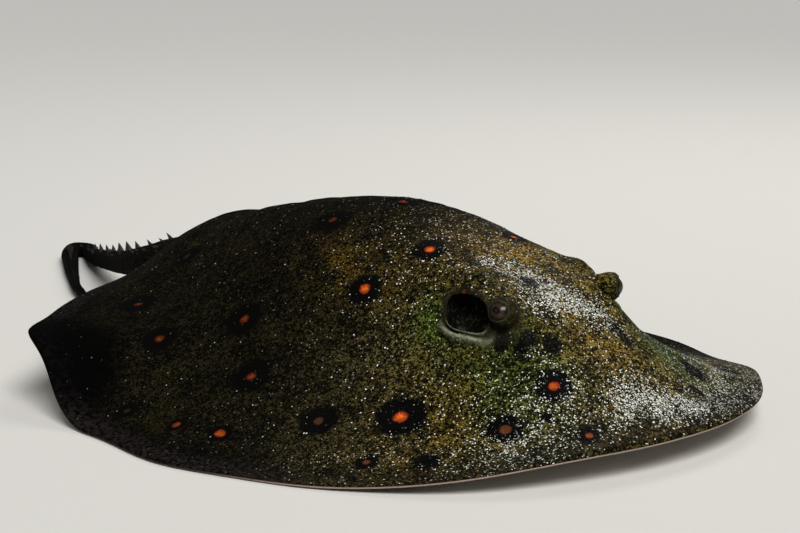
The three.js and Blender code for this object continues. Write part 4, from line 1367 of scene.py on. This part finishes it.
def plant_thorn(share, swing, height, radius, sink, lean):
    """One thorn on the tail, swung round it by an angle from the top."""
    place, along, aside, above, high, wide = (v[0] for v in tail_at([share]))
    outward = math.cos(swing) * above + math.sin(swing) * aside
    surface = place + above * high * math.cos(swing) + aside * wide * math.sin(swing)
    stand = Vector(unit(outward + lean * along))
    sideways = stand.cross(Vector(along)).normalized()
    back = sideways.cross(stand)
    turn = Matrix((back, sideways, stand)).transposed().to_euler()
    feet.append(surface - outward * sink)
    turns_of.append(tuple(turn))
    sizes_of.append((radius * MM, radius * MM, (height + sink) * MM))


for k in range(THORNS["count"]):
    run = k / (THORNS["count"] - 1)
    size = 1 - ROW_TAPER["fall"] * abs(2 * run - ROW_TAPER["tallest"])
    size = size + ROW_TAPER["uneven"] * math.sin(ROW_TAPER["beat"] * k)
    share_here = THORNS["from"] + (THORNS["to"] - THORNS["from"]) * run
    plant_thorn(share_here, 0, THORNS["height"] * size, THORNS["radius"] * size,
                THORNS["sink"], THORNS["lean"])
draws = np.random.default_rng(11)
for _ in range(SIDE_THORNS["count"]):
    share_here = draws.uniform(SIDE_THORNS["from"], SIDE_THORNS["to"])
    flank = draws.choice([-1, 1])
    swing = math.radians(flank * draws.uniform(SIDE_THORNS["nearest"], SIDE_THORNS["spread"]))
    size = draws.uniform(0.6, 1.3)
    plant_thorn(share_here, swing, SIDE_THORNS["height"] * size, SIDE_THORNS["radius"] * size,
                SIDE_THORNS["sink"], THORNS["lean"])
thorn_feet = add_object("thorn_feet", feet, [])
for name, values in {"turned": turns_of, "sized": sizes_of}.items():
    carry(thorn_feet.data, name, values, "FLOAT_VECTOR")

thorn_material, tree, shader = new_material("thorn_horn")
place = add_node(tree, "ShaderNodeTexCoord").outputs["Object"]
grown_streaks = soft_noise(tree, place, 900.0, 3.0, 0.6)
colour = mixed(tree, step_up(tree, mark(tree, "tip"), 0.55, 1.0, 0.0, 0.8), THORN_DARK, THORN_TIP)
colour = mixed(tree, step_up(tree, grown_streaks, 0.45, 0.7, 0.0, 0.6), colour, THORN_DARK)
tree.links.new(colour, shader.inputs["Base Color"])
tree.links.new(step_up(tree, grown_streaks, 0.3, 0.7, 0.35, 0.6), shader.inputs["Roughness"])
shader.inputs["Specular IOR Level"].default_value = 0.3

thorn_inputs = {"Sides": "Int", "Bend": "Float", "Blunt": "Float"}
tree, given, result = geometry_tree("thorns_on_points", thorn_inputs)
given_by = given.outputs
points = add_node(tree, "GeometryNodeMeshToPoints", {"Mesh": given_by["Geometry"]})
cone_sizes = {"Vertices": given_by["Sides"], "Side Segments": 5, "Radius Top": given_by["Blunt"],
              "Radius Bottom": 1.0, "Depth": 1.0}
cone = add_node(tree, "GeometryNodeMeshCone", cone_sizes)
on_cone = add_node(tree, "GeometryNodeInputPosition").outputs[0]
rise = add_node(tree, "ShaderNodeSeparateXYZ", {0: on_cone}).outputs[2]
bow = times(tree, times(tree, rise, rise), given_by["Bend"])
shift = add_node(tree, "ShaderNodeCombineXYZ", {0: bow}).outputs[0]
bent = add_node(tree, "GeometryNodeSetPosition", {"Geometry": cone.outputs["Mesh"], "Offset": shift})
tipped = add_node(tree, "GeometryNodeStoreNamedAttribute",
                  {"Geometry": bent.outputs[0], "Name": "tip", "Value": rise}, data_type="FLOAT")
turn_here = attribute_of(tree, "turned", "FLOAT_VECTOR")
turned_by = add_node(tree, "FunctionNodeEulerToRotation", {0: turn_here}).outputs[0]
set_out = add_node(tree, "GeometryNodeInstanceOnPoints", {
    "Points": points.outputs[0], "Instance": tipped.outputs[0], "Rotation": turned_by,
    "Scale": attribute_of(tree, "sized", "FLOAT_VECTOR"),
})
real = add_node(tree, "GeometryNodeRealizeInstances", {"Geometry": set_out.outputs[0]})
end_tree(tree, result, real.outputs[0], thorn_material)

thorns = grown("tail_thorns", thorn_feet, tree, {"Sides": 9, "Bend": 0.9, "Blunt": 0.06})
bpy.data.objects.remove(thorn_feet)
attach(thorns, "root")

# ---- Sting ---------------------------------------------------------------------------------------
# The sting is a flat blade of bone-like stuff, toothed along both edges, grooved on top and stained in
# patches; all its colours are painted dark as shade, for it lies in shadow. It lies along the tail past
# the row of thorns, just clear of the skin.

STING = {"from": 0.65, "length": 46, "width": 4.6, "thick": 1.8, "gap": 0.3, "butt": 1.5}
STING_STATIONS = 110
STING_TEETH = 26
STING_TOOTH = 0.35
STING_GROOVE = 0.35
# The sting's colours, all painted dark as shade.
SHADED_STING_BONE = (0.014, 0.0108, 0.007, 1)
SHADED_STING_STAIN = (0.005, 0.004, 0.003, 1)
SHADED_STING_EDGE = (0.036, 0.0285, 0.0195, 1)

root = [v[0] for v in tail_at([STING["from"]])]
far_end = [v[0] for v in tail_at([STING["from"] + STING["length"] / tail_length])]
sting_lift = STING["gap"] + STING["thick"] / 2
root_at = root[0] + root[3] * (root[4] + sting_lift + 0.3) - root[1] * STING["butt"]
tip_at = far_end[0] + far_end[3] * (far_end[4] + sting_lift + 0.5)
blade_points, blade_edge = [], []
section = [
    (-1, 0), (-0.62, 0.75), (-0.2, 1 - STING_GROOVE), (0.2, 1 - STING_GROOVE),
    (0.62, 0.75), (1, 0), (0.5, -0.8), (-0.5, -0.8),
]
for k in range(STING_STATIONS):
    t = k / STING_STATIONS
    tooth = STING_TOOTH * ((t * STING_TEETH) % 1.0) * smooth(0.12, 0.25, t) * (1 - smooth(0.9, 1.0, t))
    half = STING["width"] / 2 * (0.72 + 0.28 * math.sin(math.pi * min(1, t * 2.2))) * (1 - t**3)
    half = max(0.35, half - STING_TOOTH + tooth)
    thick = STING["thick"] / 2 * (1 - 0.5 * t**2)
    centre = root_at + (tip_at - root_at) * t
    for a, b in section:
        blade_points.append(centre + root[2] * a * half + root[3] * b * thick)
        blade_edge.append(abs(a) ** 3)
sides_of = len(section)
blade_faces = []
for k in range(STING_STATIONS - 1):
    for m in range(sides_of):
        a = k * sides_of + m
        b = k * sides_of + (m + 1) % sides_of
        blade_faces.append((a, a + sides_of, b + sides_of, b))
blade_points += [root_at - root[1] * 0.6, tip_at]
blade_edge += [0.0, 0.0]
last_row = (STING_STATIONS - 1) * sides_of
for m in range(sides_of):
    after = (m + 1) % sides_of
    blade_faces.append((len(blade_points) - 2, m, after))
    blade_faces.append((len(blade_points) - 1, last_row + after, last_row + m))
sting = add_object("sting_blade", blade_points, blade_faces)
carry(sting.data, "edge", blade_edge)
sting_material, tree, shader = new_material("sting_bone_shaded")
place = add_node(tree, "ShaderNodeTexCoord").outputs["Object"]
grime = soft_noise(tree, place, 420.0, 4.0, 0.65)
colour = mixed(tree, step_up(tree, grime, 0.4, 0.62), SHADED_STING_STAIN, SHADED_STING_BONE)
colour = mixed(tree, times(tree, mark(tree, "edge"), 0.5), colour, SHADED_STING_EDGE)
tree.links.new(colour, shader.inputs["Base Color"])
tree.links.new(step_up(tree, grime, 0.3, 0.7, 0.6, 0.8), shader.inputs["Roughness"])
shader.inputs["Specular IOR Level"].default_value = 0.08
sting.data.materials.append(sting_material)
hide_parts("tail_sting")
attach(sting, "root")

# ---- Denticles -----------------------------------------------------------------------------------
# Hard, shiny grains stand in the skin, thick on the crown and the snout, sparse on the back and rare to
# the rear. Each is a small low dome, rooted in the skin, that takes the skin's markings under it, partly
# painted pale as a glint (painted highlight).

DOMES = {"radius": 0.42, "flat": 0.6, "least": 0.7, "most": 1.35, "seed": 5}
COATS = {
    "denticles_head": {"slot": "head_skin", "grains": 250000, "low": (-175, -203), "high": (175, -40)},
    "denticles_back": {"slot": "back_skin", "grains": 24000, "low": (-190, -90), "high": (182, 176)},
}
COAT_PATCH = 0.0015

dry = (lid > 1.3) & (hole > 1.25) & (under < 0.3) & (on_tail < 0.5)
head_part = 1 - smooth(-80, -55, y)
thickness = {
    "denticles_head": head_part * dry * (0.05 + 0.95 * np.clip(sparkle, 0, 1)),
    "denticles_back": (1 - head_part) * dry * (1 - 0.9 * smooth(-20, 50, y - 0.3 * x)),
}
for name, values in thickness.items():
    carry(skin_mesh, name, values)
carry(skin_mesh, "plan", plain_points * [1, 1, 0], "FLOAT_VECTOR")

grain_material, tree, shader = new_material("denticle_enamel")
colour, _, place, enamel_glint = skin_colour(tree)
enamel = mixed(tree, soft_noise(tree, place, 500.0), DULL_GRAIN_GLINT, PALE_GRAIN_GLINT)
tree.links.new(mixed(tree, times(tree, enamel_glint, 0.45), colour, enamel), shader.inputs["Base Color"])
polish = step_up(tree, soft_noise(tree, place, 260.0), 0.3, 0.7, 0.18, 0.34)
tree.links.new(polish, shader.inputs["Roughness"])
shader.inputs["Specular IOR Level"].default_value = 0.4

coat_inputs = {"Grains": "Float", "Thickness": "String", "Radius": "Float", "Flat": "Float",
               "Low": "Vector", "High": "Vector", "Patch": "Float", "Seed": "Int"}
tree, given, result = geometry_tree("grains_on_skin", coat_inputs)
given_by = given.outputs
thick_here = attribute_of(tree, given_by["Thickness"])
amount = times(tree, thick_here, given_by["Grains"])
strewn = add_node(tree, "GeometryNodeDistributePointsOnFaces",
                  {"Mesh": given_by["Geometry"], "Density": amount, "Seed": given_by["Seed"]})
dome = add_node(tree, "GeometryNodeMeshIcoSphere", {"Radius": 1.0, "Subdivisions": 1})
local = add_node(tree, "GeometryNodeInputPosition").outputs[0]
tiled = add_node(tree, "GeometryNodeStoreNamedAttribute",
                 {"Geometry": dome.outputs["Mesh"], "Name": "tile", "Value": local},
                 data_type="FLOAT_VECTOR")
lot_range = {2: DOMES["least"], 3: DOMES["most"], "Seed": given_by["Seed"]}
lot = add_node(tree, "FunctionNodeRandomValue", lot_range, data_type="FLOAT").outputs[1]
across = times(tree, lot, given_by["Radius"])
tall = times(tree, across, given_by["Flat"])
dome_size = add_node(tree, "ShaderNodeCombineXYZ", {0: across, 1: across, 2: tall})
set_out = add_node(tree, "GeometryNodeInstanceOnPoints", {
    "Points": strewn.outputs["Points"], "Instance": tiled.outputs[0],
    "Rotation": strewn.outputs["Rotation"], "Scale": dome_size.outputs[0],
})
real = add_node(tree, "GeometryNodeRealizeInstances", {"Geometry": set_out.outputs[0]})

# Each grain's patch of the map lies where its root does, as seen from above.
laid = {
    "Vector": attribute_of(tree, "plan", "FLOAT_VECTOR"), "From Min": given_by["Low"],
    "From Max": given_by["High"], "To Min": (0.02, 0.02, 0.0), "To Max": (0.98, 0.98, 0.0),
}
root_place = tree.nodes.new("ShaderNodeMapRange")
root_place.data_type = "FLOAT_VECTOR"
for socket_name, value in laid.items():
    socket = next(i for i in root_place.inputs if i.enabled and i.name == socket_name)
    if isinstance(value, bpy.types.NodeSocket):
        tree.links.new(value, socket)
    else:
        socket.default_value = value
tile = scaled(tree, attribute_of(tree, "tile", "FLOAT_VECTOR"), given_by["Patch"])
root_out = next(o for o in root_place.outputs if o.enabled)
patch_place = add_node(tree, "ShaderNodeVectorMath", {0: root_out, 1: tile}, operation="ADD").outputs[0]
mapped = add_node(tree, "GeometryNodeStoreNamedAttribute",
                  {"Geometry": real.outputs[0], "Name": "OFBake", "Value": patch_place},
                  data_type="FLOAT2", domain="CORNER")
end_tree(tree, result, mapped.outputs[0], grain_material)

for name, coat in COATS.items():
    values = {"Grains": float(coat["grains"]), "Thickness": name, "Radius": DOMES["radius"] * MM,
              "Flat": DOMES["flat"], "Low": (*coat["low"], 0.0), "High": (*coat["high"], 1.0),
              "Patch": COAT_PATCH, "Seed": DOMES["seed"]}
    grains = grown(name, skin, tree, values)
    for spare in ("tile", "plan", *COATS):
        if spare in grains.data.attributes:
            grains.data.attributes.remove(grains.data.attributes[spare])
    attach(grains, "root")
